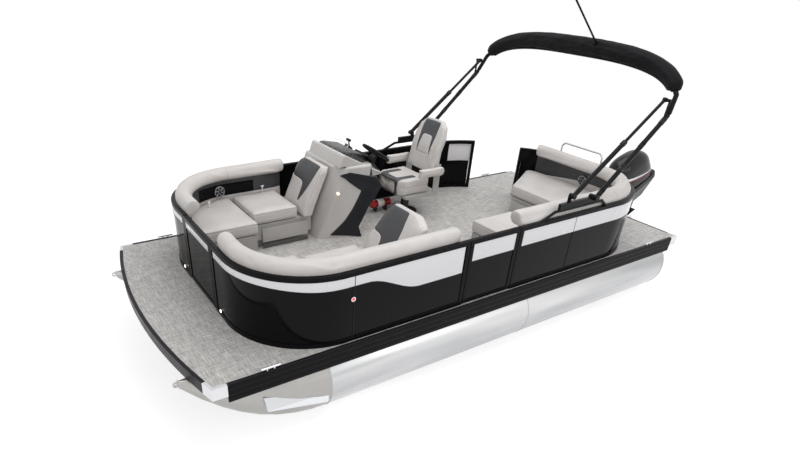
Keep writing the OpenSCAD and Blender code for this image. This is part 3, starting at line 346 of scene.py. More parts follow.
deck_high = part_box("deck")[1]
woven, nodes, links, shader = finish("woven_vinyl", (0.60, 0.58, 0.55), 0.72)
crossed = nodes.new("ShaderNodeMath")
crossed.operation = "ADD"
crossed.use_clamp = True
thread = nodes.new("ShaderNodeMath")
thread.operation = "SUBTRACT"
thread.inputs[1].default_value = 0.5
links.new(grain(woven, 46, (0.25, 7, 1), 5), crossed.inputs[0])
links.new(grain(woven, 46, (7, 0.25, 1), 5), thread.inputs[0])
links.new(thread.outputs[0], crossed.inputs[1])
tint(woven, crossed.outputs[0], (0.29, 0.278, 0.268), (0.74, 0.72, 0.70))
place = nodes.new("ShaderNodeTexCoord")
weft = nodes.new("ShaderNodeTexWave")
weft.bands_direction = "X"
weft.inputs["Scale"].default_value = 55
weft.inputs["Distortion"].default_value = 1.5
weft.inputs["Detail"].default_value = 1
links.new(place.outputs["Object"], weft.inputs["Vector"])
relief(woven, weft.outputs["Fac"], 0.35, 0.0015)
wear("deck", woven)

edge_dark = coated("dark_trim", (0.016, 0.014, 0.018), 0.34, uneven=(6, 0.28, 0.44), specular=0.12)
ribbed = coated("ribbed_rubber", (0.007, 0.007, 0.008), 0.46, uneven=(40, 0.38, 0.56), specular=0.08)

rub_low, rub_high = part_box("rub_rails")
bow_corner_x, bow_bulge, bulge_radius = 3.264, 0.170, 5.0175
bulge_centre_x = bow_corner_x + bow_bulge - bulge_radius
rail_stern_x, rail_bow_x = -2.11, 3.145


def sweep(line, normals, profile, ring=True):
    """Carries a section along a line that lies level.

    line is (n, 3), normals (n, 2) point outboard and profile is (m, 2) or (n, m, 2), each point an
    offset outboard and a height: grid[i, j] = line[i] + normal[i] * offset[j] + (0, 0, height[j]).
    """
    profile = np.broadcast_to(profile, (len(line),) + np.asarray(profile).shape[-2:])
    grid = np.repeat(line[:, None, :], profile.shape[1], 1).astype(float)
    grid[..., :2] += normals[:, None, :] * profile[..., :1]
    grid[..., 2] += profile[..., 1]
    return grid


def rounded(width, height, corner, steps=5):
    """A closed rectangle section centred on 0 with rounded corners."""
    turn = np.linspace(0, math.pi / 2, steps)
    parts = []
    for k, (sx, sy) in enumerate(((1, 1), (-1, 1), (-1, -1), (1, -1))):
        a = turn + k * math.pi / 2
        parts.append(np.stack([sx * (width / 2 - corner) + corner * np.cos(a),
                               sy * (height / 2 - corner) + corner * np.sin(a)], 1))
    return np.concatenate(parts)


def straight(a, b, spacing=0.05):
    """A level line from a to b with its outboard normals, to the right hand of travel."""
    a, b = np.array(a, float), np.array(b, float)
    t = np.linspace(0, 1, max(2, int(np.linalg.norm(b - a) / spacing) + 1))[:, None]
    way = (b - a) / np.linalg.norm(b - a)
    return a + (b - a) * t, np.repeat([[way[1], -way[0]]], len(t), 0)


def turn_about(centre, radius, first, last, spacing=0.03):
    """A level arc between two angles in degrees, with normals away from its centre."""
    count = max(3, int(abs(math.radians(last - first)) * radius / spacing) + 1)
    a = np.radians(np.linspace(first, last, count))
    out = np.stack([np.cos(a), np.sin(a)], 1)
    return np.array(centre) + radius * out, out


def joined(*parts):
    """Joins stretches of line, dropping the point that two of them share."""
    points = np.concatenate([parts[0][0]] + [p[0][1:] for p in parts[1:]])
    normals = np.concatenate([parts[0][1]] + [p[1][1:] for p in parts[1:]])
    return np.column_stack([points, np.zeros(len(points))]), normals


# Side rails: a section with three rounded ribs, o = t/2 + r * |sin(3 * pi * v)|, carried along
# the straight side from the bow cap to the stern cap.
rib_v = np.linspace(0, 1, 37)
rib_z = rub_high.z - 0.004 - rib_v * (rub_high.z - rub_low.z - 0.006)
rib_o = 0.0005 + 0.0035 * np.sqrt(np.abs(np.sin(3 * math.pi * rib_v)))
rib_profile = np.column_stack([np.append(rib_o, [-0.004, -0.004]),
                               np.append(rib_z, [rib_z[-1], rib_z[0]])])
for side, label in ((1, "port"), (-1, "starboard")):
    line, normals = joined(straight((rail_stern_x, side * rub_high.y),
                                    (rail_bow_x, side * rub_high.y), 0.25))
    normals = np.repeat([[0, side]], len(line), 0)
    points, faces = tube_skin([sweep(line, normals, rib_profile)])
    shape("rub_ribs_" + label, points, faces, ribbed, "boat")
wear("rub_rails", edge_dark)

# Bow trim: a flat dark lip on the bow's curve, o = 5.0175 m radius arc.
half_turn = math.degrees(math.asin(1.18 / bulge_radius))
line, normals = joined(turn_about((bulge_centre_x, 0), bulge_radius, -half_turn, half_turn, 0.06))
lip = rounded(0.030, 0.006, 0.0025) + [-0.012, deck_high.z + 0.0025]
points, faces = tube_skin([sweep(line, normals, lip)])
shape("bow_lip", points, faces, edge_dark, "boat")
for side, label in ((1, "port"), (-1, "starboard")):
    line, normals = joined(straight((rail_stern_x, side * (rub_high.y - 0.014)),
                                    (rail_bow_x, side * (rub_high.y - 0.014)), 0.25))
    normals = np.repeat([[0, side]], len(line), 0)
    points, faces = tube_skin([sweep(line, normals, rounded(0.026, 0.006, 0.0025)
                                     + [0, deck_high.z + 0.0025])])
    shape("side_lip_" + label, points, faces, edge_dark, "boat")

chrome = coated("chrome", (0.66, 0.66, 0.68), 0.12, 1.0, uneven=(9, 0.07, 0.2))
wear("corner_caps", chrome)
wear("cleats", chrome)


def domes(places, radius, height, count=14):
    """Bolt heads: z = h * sqrt(1 - (r / R)^2), each turned to face along its own direction."""
    parts, faces = [], []
    u = np.linspace(0, 1, 5)
    for where, facing in places:
        facing = np.array(facing, float) / np.linalg.norm(facing)
        side = np.cross(facing, [0, 0, 1] if abs(facing[2]) < 0.9 else [1, 0, 0])
        side /= np.linalg.norm(side)
        up = np.cross(facing, side)
        a, r = np.meshgrid(circle_of(count), u, indexing="xy")
        rise = height * np.sqrt(np.clip(1 - r ** 2, 0, 1))
        grid = (np.array(where) + radius * r[..., None] * (np.cos(a)[..., None] * side
                + np.sin(a)[..., None] * up) + rise[..., None] * facing)
        faces += cells(5, count, ring_columns=True, start=5 * count * len(parts))
        parts.append(grid.reshape(-1, 3))
    return np.concatenate(parts), faces


bolts = []
for side in (1, -1):
    for x in (3.16, 3.20, -2.12, -2.16):
        for z in (0.660, 0.705):
            bolts.append(((x, side * (1.295 - 0.0005), z), (0, side, 0)))
points, faces = domes(bolts, 0.0045, 0.002)
shape("cap_bolts", points, faces, chrome, "boat")

# ---------------------------------------------------------------- fence
# The fence is welded from black square tube with a rounded top rail. Gloss black panels are
# riveted behind it, and a white band covers their upper part over a dark bead: painted shadow under its edge.

fence_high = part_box("fence_starboard")[1].z
black_rail = coated("black_rail", (0.005, 0.005, 0.006), 0.26, uneven=(12, 0.2, 0.34), specular=0.07)
gloss = coated("gloss_black_panel", (0.004, 0.004, 0.005), 0.09, uneven=(2.2, 0.06, 0.13),
               bumps=(1.4, 0.05, 0.01), specular=0.09)
band_white = coated("white_band", (0.84, 0.83, 0.85), 0.25, uneven=(3, 0.2, 0.32), coat=0.4)
for node in ("fence_port_bow", "fence_port_stern", "fence_starboard"):
    wear(node, black_rail)
for node in ("skin_port_bow", "skin_port_stern", "skin_starboard", "bow_gate_skin", "side_gate_skin"):
    wear(node, gloss)

gate_half = 0.32
front_x, side_y = 2.859, 1.25
port_bow_line = joined(straight((front_x, gate_half), (front_x, 0.55)),
                       turn_about((2.159, 0.55), 0.70, 0, 90),
                       straight((2.159, side_y), (0.984, side_y)))
port_stern_line = joined(straight((0.403, side_y), (-0.966, side_y)),
                         turn_about((-0.966, 0.53), 0.72, 90, 180),
                         straight((-1.686, 0.53), (-1.686, -0.17)),
                         turn_about((-1.156, -0.17), 0.53, 180, 230))
starboard_line = joined(straight((front_x, -gate_half), (front_x, -0.55)),
                        turn_about((2.159, -0.55), 0.70, 0, -90),
                        straight((2.159, -side_y), (-0.606, -side_y)),
                        turn_about((-0.606, -0.25), 1.0, -90, -125))
fence_lines = {"port_bow": port_bow_line, "port_stern": port_stern_line, "starboard": starboard_line}
for line, normals in fence_lines.values():
    middle = np.array([0.6, 0.0])
    outward = np.sign(((line[:, :2] - middle) * normals).sum(1))
    normals *= outward[:, None]


def ease(x, start, end):
    """0 before start and 1 after end, with a smooth step between."""
    t = np.clip((x - start) / (end - start), 0, 1)
    return t * t * (3 - 2 * t)


def band_foot(x):
    """The white band's lower edge: level aft, low before the gate, and high round the bow."""
    return 1.150 - 0.095 * ease(x, 0.90, 1.05) + 0.160 * ease(x, 1.48, 1.98) + 0.025 * ease(x, 2.3, 2.8)


def white_band(label, line, normals, foot, body):
    """A white sheet 1 mm proud of the panels, from foot up to the top rail, on a dark bead whose colour is
    painted shadow under the band's edge.
    """
    head = np.full_like(foot, fence_high - 0.038)
    proud = ((-0.0035, head), (0.0006, head), (0.0012, head - 0.003), (0.0012, foot + 0.003),
             (0.0006, foot), (-0.0035, foot))
    section = np.stack([np.stack([np.full_like(foot, o), z], 1) for o, z in proud], 1)
    points, faces = tube_skin([sweep(line, normals, section)])
    shape("band_" + label, points, faces, band_white, body)
    # The bead along the band's foot: its dark colour is painted shadow under the band's edge.
    a = circle_of(10)
    bead = np.stack([0.0004 + 0.0030 * np.cos(a)[None] + 0 * foot[:, None],
                     (foot - 0.002)[:, None] + 0.0036 * np.sin(a)[None]], -1)
    points, faces = tube_skin([sweep(line, normals, bead)])
    shape("band_shadow_bead_" + label, points, faces, edge_dark, body)


for label, (line, normals) in fence_lines.items():
    inside = slice(1, -1)
    white_band(label, line[inside], normals[inside], band_foot(line[inside, 0]), "boat")
    cap = rounded(0.046, 0.016, 0.0078) + [-0.018, fence_high - 0.0062]
    points, faces = tube_skin([sweep(line, normals, cap)])
    shape("rail_cap_" + label, points, faces, black_rail, "boat")

# Sheet joints and rivets: each side is skinned in sheets that meet on a post behind a dark slit.
joint_places = {"port_bow": (2.10,), "port_stern": (-0.34,), "starboard": (2.10, 0.75, -0.34)}
slits, rivets = [], []
for label, stations in joint_places.items():
    side = -1 if label == "starboard" else 1
    for x in stations:
        slit = rounded(0.007, 0.0026, 0.0010)
        z = np.linspace(0.772, fence_high - 0.038, 12)
        grid = np.empty((12, len(slit), 3))
        grid[..., 0] = x + slit[None, :, 0]
        grid[..., 1] = side * (1.2506 + slit[None, :, 1])
        grid[..., 2] = z[:, None]
        slits.append(grid)
        for z in (0.80, 0.90, 1.00):
            for dx in (-0.014, 0.014):
                rivets.append(((x + dx, side * 1.2500, z), (0, side, 0)))
points, faces = tube_skin(slits)
shape("sheet_joints", points, faces, edge_dark, "boat")
points, faces = domes(rivets, 0.0035, 0.0012, 10)
shape("fence_rivets", points, faces, black_rail, "boat")

# The white sheet shows on the inside too, on the curve that ends the starboard fence.
line, normals = joined(turn_about((-0.606, -0.25), 1.0, -106, -123))
inner_band = [(-0.0078, 1.078), (-0.0092, 1.080), (-0.0092, fence_high - 0.040),
              (-0.0078, fence_high - 0.038)]
points, faces = tube_skin([sweep(line, normals, inner_band)])
shape("band_inner", points, faces, band_white, "boat")

# ---------------------------------------------------------------- gates
# Two hinged gates of the same square tube and panel, with the white band carried across them.

wear("bow_gate", black_rail)
wear("side_gate", black_rail)
panel_low, panel_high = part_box("bow_gate_skin")
line, normals = joined(straight((front_x, panel_high.y + 0.012), (front_x, panel_low.y - 0.012)))
white_band("bow_gate", line, np.repeat([[1, 0]], len(line), 0), np.full(len(line), 1.240), "bow_gate_leaf")
panel_low, panel_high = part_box("side_gate_skin")
line, normals = joined(straight((panel_high.x + 0.012, side_y), (panel_low.x - 0.012, side_y)))
white_band("side_gate", line, np.repeat([[0, 1]], len(line), 0), np.full(len(line), 1.140),
           "side_gate_leaf")
for node, body, along in (("bow_gate", "bow_gate_leaf", 1), ("side_gate", "side_gate_leaf", 0)):
    low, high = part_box(node)
    ends = [[(low.x + high.x) / 2, (low.y + high.y) / 2, fence_high - 0.0062] for _ in range(2)]
    ends[0][along], ends[1][along] = low[along] + 0.010, high[along] - 0.010
    if along == 1:
        ends[0][0] = ends[1][0] = front_x - 0.018
    else:
        ends[0][1] = ends[1][1] = side_y - 0.018
    line, _ = joined(straight(ends[0][:2], ends[1][:2], 0.1))
    normals = np.repeat([[1.0, 0.0] if along == 1 else [0.0, 1.0]], len(line), 0)
    points, faces = tube_skin([sweep(line, normals, rounded(0.046, 0.016, 0.0078)
                                     + [0, fence_high - 0.0062])])
    shape("rail_cap_" + node, points, faces, black_rail, body)

# ---------------------------------------------------------------- lamps
# Navigation lamps are small clear-lensed cups let into the side panels, red to port and green
# to starboard, and two lit courtesy lamps shine on the bow deck.

lens_finishes = {}
for tone, colour, light, power in (("red", (0.62, 0.02, 0.02), (1.0, 0.02, 0.02), 1.0),
                                   ("green", (0.02, 0.42, 0.12), (0.03, 1.0, 0.20), 0.5),
                                   ("white", (0.90, 0.90, 0.92), (1.0, 0.97, 1.0), 6.0),
                                   ("warm", (0.95, 0.72, 0.36), (1.0, 0.72, 0.40), 5.0)):
    made, nodes, links, shader = finish("lens_" + tone, colour, 0.12)
    shader.inputs["Emission Color"].default_value = (*light, 1)
    shader.inputs["Emission Strength"].default_value = power
    shader.inputs["Coat Weight"].default_value = 0.6
    relief(made, grain(made, 240), 0.2, 0.001)
    spread(made, grain(made, 30), 0.08, 0.20, "Roughness")
    lens_finishes[tone] = made
wear("lamps", chrome)
for tone, where in (("red", [((2.114, 1.2595, 1.11), (0, 1, 0))]),
                    ("green", [((2.114, -1.2595, 1.11), (0, -1, 0))]),
                    ("white", [((2.8685, 0.45, 0.792), (1, 0, 0)), ((2.8685, -0.45, 0.792), (1, 0, 0))])):
    points, faces = domes(where, 0.0135, 0.0045, 28)
    shape("lens_" + tone, points, faces, lens_finishes[tone], "boat")

# ---------------------------------------------------------------- lounge bases
# Rotomoulded grey-beige boxes carry the cushions. Their doors and panels are pressed in, with a
# darker toe kick along the floor.

moulded = coated("beige_moulding", (0.5, 0.485, 0.465), 0.55,
                 shades=(2.5, (0.43, 0.415, 0.395), (0.51, 0.495, 0.475)),
                 bumps=((320, (1, 1, 1), 2), 0.12, 0.001))
kick = coated("toe_kick", (0.1, 0.095, 0.09), 0.6, bumps=(200, 0.15, 0.001))
for node in ("lounge_bases", "stern_base"):
    wear(node, moulded)

kick_high = 0.045


def plank(name, a, b, foot, head, out, made, thick=0.004, corner=0.0015, body="boat"):
    """A thin panel standing on the line a to b, its rounded section carried from foot to head."""
    a, b = np.array(a, float), np.array(b, float)
    way = (b - a) / np.linalg.norm(b - a)
    normal = np.array(out, float)
    span = np.linalg.norm(b - a)
    z = np.array([foot, foot + corner, head - corner, head])
    grow = np.array([-corner, 0, 0, -corner])
    section = rounded(span, thick * 2, corner, 4)
    grid = np.empty((4, len(section), 3))
    middle = (a + b) / 2
    for axis in range(2):
        grid[..., axis] = (middle[axis] + way[axis] * section[None, :, 0]
                           * (1 + 2 * grow[:, None] / span) + normal[axis] * section[None, :, 1])
    grid[..., 2] = z[:, None]
    points, faces = tube_skin([grid])
    return shape(name, points, faces, made, body)


for name, a, b, out in (
        ("port_fore", (2.03, 0.42), (1.62, 0.42), (0, -1)),
        ("port_aft", (1.56, 0.42), (1.20, 0.42), (0, -1)),
        ("starboard_fore", (2.03, -0.57), (1.52, -0.57), (0, 1)),
        ("stern_side", (0.18, 0.50), (-0.24, 0.50), (0, -1)),
        ("stern_mid", (-0.32, 0.50), (-0.80, 0.50), (0, -1)),
        ("stern_bench", (-0.856, 0.42), (-0.856, 0.00), (1, 0))):
    plank("base_panel_" + name, a, b, 0.80, 0.945, out, moulded)
    plank("base_kick_" + name, a, b, 0.733, 0.733 + kick_high, out, kick, 0.0015, 0.0007)

# ---------------------------------------------------------------- lounge cushions
# Foam cushions upholstered in off-white vinyl with charcoal insets. The vinyl is pulled tight
# over the foam and sewn, so every face is crowned and the seams sink in.

vinyl_white = (0.64, 0.61, 0.59)
vinyl_charcoal = (0.052, 0.054, 0.060)
voxel = 0.015
draw_in = 0.008
swell = 0.011
seat_rest = 0.9803


def upholstery(name, light, dark, gloss_low=0.34, gloss_high=0.50):
    """Grained vinyl in two colours. Two attributes on the mesh guide it: inset is how far inside
    the dark panel's edge a point is, and seam is its distance to the nearest seam."""
    made, nodes, links, shader = finish(name, light, 0.42)
    grained = grain(made, 420, (1, 1, 1), 3)
    cloudy = grain(made, 5, (1, 1, 1), 2)
    spread(made, cloudy, gloss_low, gloss_high, "Roughness")
    inset = nodes.new("ShaderNodeAttribute")
    inset.attribute_name = "inset"
    seam = nodes.new("ShaderNodeAttribute")
    seam.attribute_name = "seam"
    chosen = nodes.new("ShaderNodeMath")
    chosen.operation = "GREATER_THAN"
    chosen.inputs[1].default_value = 0.0
    links.new(inset.outputs["Fac"], chosen.inputs[0])
    shades = []
    for colour in (light, dark):
        ramp = nodes.new("ShaderNodeValToRGB")
        ramp.color_ramp.elements[0].position = 0.25
        ramp.color_ramp.elements[0].color = (*[0.93 * c for c in colour], 1)
        ramp.color_ramp.elements[1].position = 0.75
        ramp.color_ramp.elements[1].color = (*[min(1, 1.05 * c) for c in colour], 1)
        links.new(cloudy, ramp.inputs["Fac"])
        shades.append(ramp.outputs["Color"])
    two = nodes.new("ShaderNodeMix")
    two.data_type = "RGBA"
    links.new(chosen.outputs[0], two.inputs["Factor"])
    links.new(shades[0], two.inputs["A"])
    links.new(shades[1], two.inputs["B"])
    # The colour is darkened towards each seam, to 0.45 of itself on the seam line: painted shade in the sewn
    # creases.
    sewn = nodes.new("ShaderNodeMapRange")
    sewn.inputs["From Min"].default_value = 0.0008
    sewn.inputs["From Max"].default_value = 0.0030
    sewn.inputs["To Min"].default_value = 0.45
    sewn.inputs["To Max"].default_value = 1.0
    links.new(seam.outputs["Fac"], sewn.inputs["Value"])
    darker = nodes.new("ShaderNodeMix")
    darker.data_type = "RGBA"
    darker.blend_type = "MULTIPLY"
    darker.inputs["Factor"].default_value = 1.0
    links.new(two.outputs["Result"], darker.inputs["A"])
    links.new(sewn.outputs["Result"], darker.inputs["B"])
    links.new(darker.outputs["Result"], shader.inputs["Base Color"])
    bump = relief(made, grained, 0.16, 0.0008)
    return made


vinyl = upholstery("marine_vinyl", vinyl_white, vinyl_charcoal)


def loose_parts(node):
    """The separate solids of a CAD node, each as (points, faces)."""
    b = bmesh.new()
    b.from_mesh(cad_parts[node].data)
    bmesh.ops.remove_doubles(b, verts=b.verts, dist=1e-5)
    b.verts.ensure_lookup_table()
    b.verts.index_update()
    group = np.full(len(b.verts), -1)
    count = 0
    for start in b.verts:
        if group[start.index] >= 0:
            continue
        front = [start]
        group[start.index] = count
        while front:
            for edge in front.pop().link_edges:
                for vert in edge.verts:
                    if group[vert.index] < 0:
                        group[vert.index] = count
                        front.append(vert)
        count += 1
    points = np.array([v.co[:] for v in b.verts])
    faces = [[v.index for v in f.verts] for f in b.faces]
    b.free()
    parts = []
    for k in range(count):
        own = np.flatnonzero(group == k)
        new = {int(old): i for i, old in enumerate(own)}
        parts.append((points[own], [[new[i] for i in f] for f in faces if group[f[0]] == k]))
    return sorted(parts, key=lambda part: tuple(np.round(-part[0].mean(0), 3)))


def coordinates(mesh):
    """A mesh's points as an array."""
    flat = np.empty(len(mesh.vertices) * 3)
    mesh.vertices.foreach_get("co", flat)
    return flat.reshape(-1, 3)


def normals_of(mesh):
    """A mesh's vertex normals as an array."""
    flat = np.empty(len(mesh.vertices) * 3)
    mesh.vertex_normals.foreach_get("vector", flat)
    return flat.reshape(-1, 3)


def baked(piece):
    """The mesh that a piece's modifiers give, with the modifiers taken off it."""
    graph = bpy.context.evaluated_depsgraph_get()
    mesh = bpy.data.meshes.new_from_object(piece.evaluated_get(graph))
    piece.modifiers.clear()
    old = piece.data
    piece.data = mesh
    bpy.data.meshes.remove(old)
    return mesh


def padded_pieces(wanted, cell=voxel, rounds=6, inward=draw_in, outward=swell, pressure=4.0):
    """Padded forms from {name: (points, faces)}, all filled in one simulation.

    Each solid is remeshed to even cells, rounded off by averaging neighbours, and drawn in along
    its normals. Then it is a cloth skin under pressure, and no point moves more than outward.
    """
    pieces = {}
    for name, (points, faces) in wanted.items():
        mesh = bpy.data.meshes.new(name)
        mesh.from_pydata(points.tolist(), [], faces)
        piece = bpy.data.objects.new(name, mesh)
        bpy.context.collection.objects.link(piece)
        remesh = piece.modifiers.new("cells", "REMESH")
        remesh.mode = "VOXEL"
        remesh.voxel_size = cell
        mesh = baked(piece)
        p = coordinates(mesh)
        ends = np.empty(len(mesh.edges) * 2, int)
        mesh.edges.foreach_get("vertices", ends)
        a, b = ends[::2], ends[1::2]
        share = np.bincount(np.concatenate([a, b]), minlength=len(p))[:, None]
        for _ in range(rounds):
            total = np.stack([np.bincount(a, p[b, k], len(p)) + np.bincount(b, p[a, k], len(p))
                              for k in range(3)], 1)
            p = 0.4 * p + 0.6 * total / share
        mesh.vertices.foreach_set("co", p.ravel())
        mesh.update()
        p = p - inward * normals_of(mesh)
        mesh.vertices.foreach_set("co", p.ravel())
        mesh.update()
        pieces[name] = (piece, p)
    scene = bpy.context.scene
    for piece, p in pieces.values():
        cloth = piece.modifiers.new("skin", "CLOTH")
        cloth.settings.use_pressure = True
        cloth.settings.uniform_pressure_force = pressure
        cloth.settings.effector_weights.gravity = 0
        cloth.settings.quality = 4
        cloth.settings.tension_stiffness = 18
        cloth.settings.compression_stiffness = 18
        cloth.collision_settings.use_collision = False
        cloth.point_cache.frame_start, cloth.point_cache.frame_end = 1, 20
    for step in range(1, 21):
        scene.frame_set(step)
    graph = bpy.context.evaluated_depsgraph_get()
    for piece, p in pieces.values():
        blown = coordinates(piece.evaluated_get(graph).data) - p
        far = np.linalg.norm(blown, axis=1, keepdims=True)
        blown *= np.minimum(1, outward / np.maximum(far, 1e-9))
        piece.modifiers.clear()
        piece.data.vertices.foreach_set("co", (p + blown).ravel())
        piece.data.update()
    scene.frame_set(1)
    for piece, p in pieces.values():
        finer = piece.modifiers.new("finer", "SUBSURF")
        finer.levels = finer.render_levels = 1
        baked(piece)
    return {name: piece for name, (piece, p) in pieces.items()}


def soft_blend(a, b, reach=0.012):
    """The smaller of two distances, rounded where they cross: -r * log(e^(-a/r) + e^(-b/r))."""
    low = np.minimum(a, b)
    return low - reach * np.log(np.exp((low - a) / reach) + np.exp((low - b) / reach))


def sew(piece, seam, inset=None, made=vinyl, depth=0.0045, width=0.006, floor_z=None, body="boat"):
    """Sinks the seams into a padded piece, dresses it and hands it over.

    A point moves inwards by depth * exp(-(seam / width)^2).
    """
    mesh = piece.data
    p, n = coordinates(mesh), normals_of(mesh)
    p = p - depth * np.exp(-(seam / width) ** 2)[:, None] * n
    if floor_z is not None:
        p[:, 2] = np.maximum(p[:, 2], floor_z)
    mesh.vertices.foreach_set("co", p.ravel())
    mesh.update()
    for title, values in (("seam", seam), ("inset", np.full(len(p), -1.0) if inset is None else inset)):
        mesh.attributes.new(title, "FLOAT", "POINT").data.foreach_set("value", values.astype(np.float32))
    mesh.polygons.foreach_set("use_smooth", np.full(len(mesh.polygons), True))
    mesh.materials.clear()
    mesh.materials.append(made)
    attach(piece, body)
    return piece


seat_parts = loose_parts("lounge_seats")
seat_names = {}
for points, faces in seat_parts:
    middle = points.mean(0)
    label = ("port" if middle[1] > 0 else "starboard") + ("_corner" if middle[0] > 2.13 else "_seat")
    seat_names["lounge_" + label] = (points, faces)
for name, piece in padded_pieces(seat_names).items():
    p = coordinates(piece.data)
    welt = np.abs(p[:, 2] - 1.088)
    sew(piece, np.minimum(welt, np.abs(p[:, 2] - 1.005)), floor_z=seat_rest)
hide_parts("lounge_seats")

back_parts = {}
for points, faces in loose_parts("lounge_backs"):
    back_parts["lounge_back_port" if points[:, 1].mean() > 0 else "lounge_back_starboard"] = (points, faces)
back_high = {name: points[:, 2].max() for name, (points, faces) in back_parts.items()}
back_side = {name: (np.abs(points[:, 1]).min(), np.abs(points[:, 1]).max())
             for name, (points, faces) in back_parts.items()}
for name, piece in padded_pieces(back_parts, rounds=7).items():
    p = coordinates(piece.data)
    front = normals_of(piece.data)[:, 0] > 0.05
    inner, outer = back_side[name]
    u = (np.abs(p[:, 1]) - inner) / (outer - inner)
    v = (p[:, 2] - seat_rest) / (back_high[name] - seat_rest)
    wide, tall = outer - inner, (back_high[name] - seat_rest) * 1.12
    w, aft_edge, slant, pad_wide, pad_tall = (
        (u, 0.58, 0.04, 0.34, 0.50) if name.endswith("port") else (1 - u, 0.44, 0.46, 0.54, 0.60))
    outer_edge = aft_edge + slant * v + 0.05 * np.sin(math.pi * np.clip(v, 0, 1))
    border = soft_blend(soft_blend((w - 0.05) * wide, (outer_edge - w) * wide), (0.95 - v) * tall)
    pad = -soft_blend(-(w - pad_wide) * wide, -(v - pad_tall) * tall, 0.03)
    inset = soft_blend(soft_blend(border, pad), (v - 0.22) * tall)
    inset = np.where(front, inset, -0.05)
    seam = np.minimum(np.abs(inset), np.where(front, np.abs((0.93 - w) * wide), 1))
    sew(piece, seam, inset, floor_z=seat_rest)
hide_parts("lounge_backs")

# ---------------------------------------------------------------- bolsters
# A long padded roll follows the inside of each fence over a slimmer pad. It is sewn in
# lengths, with a charcoal band under the roll to starboard and across the stern.

bolster_parts = {}
for points, faces in loose_parts("bolsters"):
    middle = points.mean(0)
    label = "stern" if middle[0] < 0.5 else "bow_port" if middle[1] > 0 else "bow_starboard"
    bolster_parts["bolster_" + label] = (points, faces)
for name, piece in padded_pieces(bolster_parts, cell=0.016, rounds=5).items():
    p = coordinates(piece.data)
    n = normals_of(piece.data)
    under = np.abs(p[:, 2] - 1.293)
    if name == "bolster_stern":
        across = np.minimum(np.abs(p[:, 0] + 0.966), np.abs(p[:, 1] - 0.53))
        band = soft_blend(1.286 - p[:, 2], p[:, 2] - (1.12 + 0.05 * np.sin(3.2 * p[:, 1])))
        inset = np.where(p[:, 0] < -0.60, band, -0.05)
    else:
        across = np.minimum(np.abs(p[:, 0] - 2.159), np.abs(np.abs(p[:, 1]) - 0.55))
        inset = soft_blend(1.286 - p[:, 2], p[:, 2] - 1.128) if name == "bolster_bow_starboard" else None
    seam = np.minimum(under, across)
    if inset is not None:
        seam = np.minimum(seam, np.abs(inset))
    sew(piece, seam, inset, floor_z=seat_rest, depth=0.004)
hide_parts("bolsters")

# ---------------------------------------------------------------- stern lounge
# The stern bench turns the corner into a chaise along the port side. Its cushions are sewn
# like the bow's, with channels across the chaise.

stern_parts = {}
for points, faces in loose_parts("stern_seat"):
    middle = points.mean(0)
    label = "bench" if middle[0] < -0.7 else "side" if middle[0] < -0.25 else "chaise"
    stern_parts["stern_" + label] = (points, faces)
for name, piece in padded_pieces(stern_parts).items():
    p = coordinates(piece.data)
    seam = np.minimum(np.abs(p[:, 2] - 1.088), np.abs(p[:, 2] - 1.005))
    if name != "stern_bench":
        middle = np.abs(p[:, 0] - p[:, 0].mean())
        seam = np.minimum(seam, np.where(p[:, 2] > 1.09, np.abs(middle - 0.10), 1))
    sew(piece, seam, floor_z=seat_rest)
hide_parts("stern_seat")

# ---------------------------------------------------------------- speakers
# Round speakers sit in black surrounds let into the bolsters, each with a spoked grille.

speaker_black = coated("speaker_black", (0.008, 0.008, 0.009), 0.4, bumps=(180, 0.2, 0.001))
spoke_grey = coated("spoke_grey", (0.42, 0.425, 0.44), 0.3, 0.6, uneven=(30, 0.22, 0.38))
wear("speakers", speaker_black)
turn = math.radians(-82)
for label, facing in (("bow", (-math.cos(turn), -math.sin(turn), 0)), ("stern", (1, 0, 0))):
    facing = np.array(facing, float)
    side = np.cross(facing, [0, 0, 1])
    near = [p for p, f in loose_parts("speakers") if (p[:, 0].mean() > 0) == (label == "bow")][0]
    where = near[(near @ facing) > (near @ facing).max() - 0.002].mean(0)
    ring_r, wire = 0.053, 0.0045
    a, b = np.meshgrid(circle_of(48), circle_of(8), indexing="ij")
    reach = ring_r + wire * np.cos(b)
    rim = (where + (reach * np.cos(a))[..., None] * side + (reach * np.sin(a))[..., None] * [0, 0, 1]
           + (0.003 + wire * np.sin(b))[..., None] * facing)
    points = rim.reshape(-1, 3).tolist()
    faces = cells(48, 8, True, True)
    for k in range(6):
        angle = k * math.pi / 3 + 0.3
        out_way = math.cos(angle) * side + math.sin(angle) * np.array([0, 0, 1])
        cross = -math.sin(angle) * side + math.cos(angle) * np.array([0, 0, 1])
        t = np.linspace(0.004, ring_r, 6)
        t = t[:, None, None]
        section = rounded(0.009, 0.006, 0.002, 3)
        grid = (where + t * out_way + section[None, :, :1] * (0.6 + 0.5 * t / ring_r) * cross
                + (0.0045 + 0.004 * (1 - t / ring_r) + section[None, :, 1:]) * facing)
        more, new = tube_skin([grid])
        faces += [[i + len(points) for i in f] for f in new]
        points += more
    shape("grille_" + label, points, faces, spoke_grey, "boat")
    points, faces = domes([(where + 0.006 * facing, facing)], 0.016, 0.008, 24)
    shape("speaker_dome_" + label, points, faces, speaker_black, "boat")

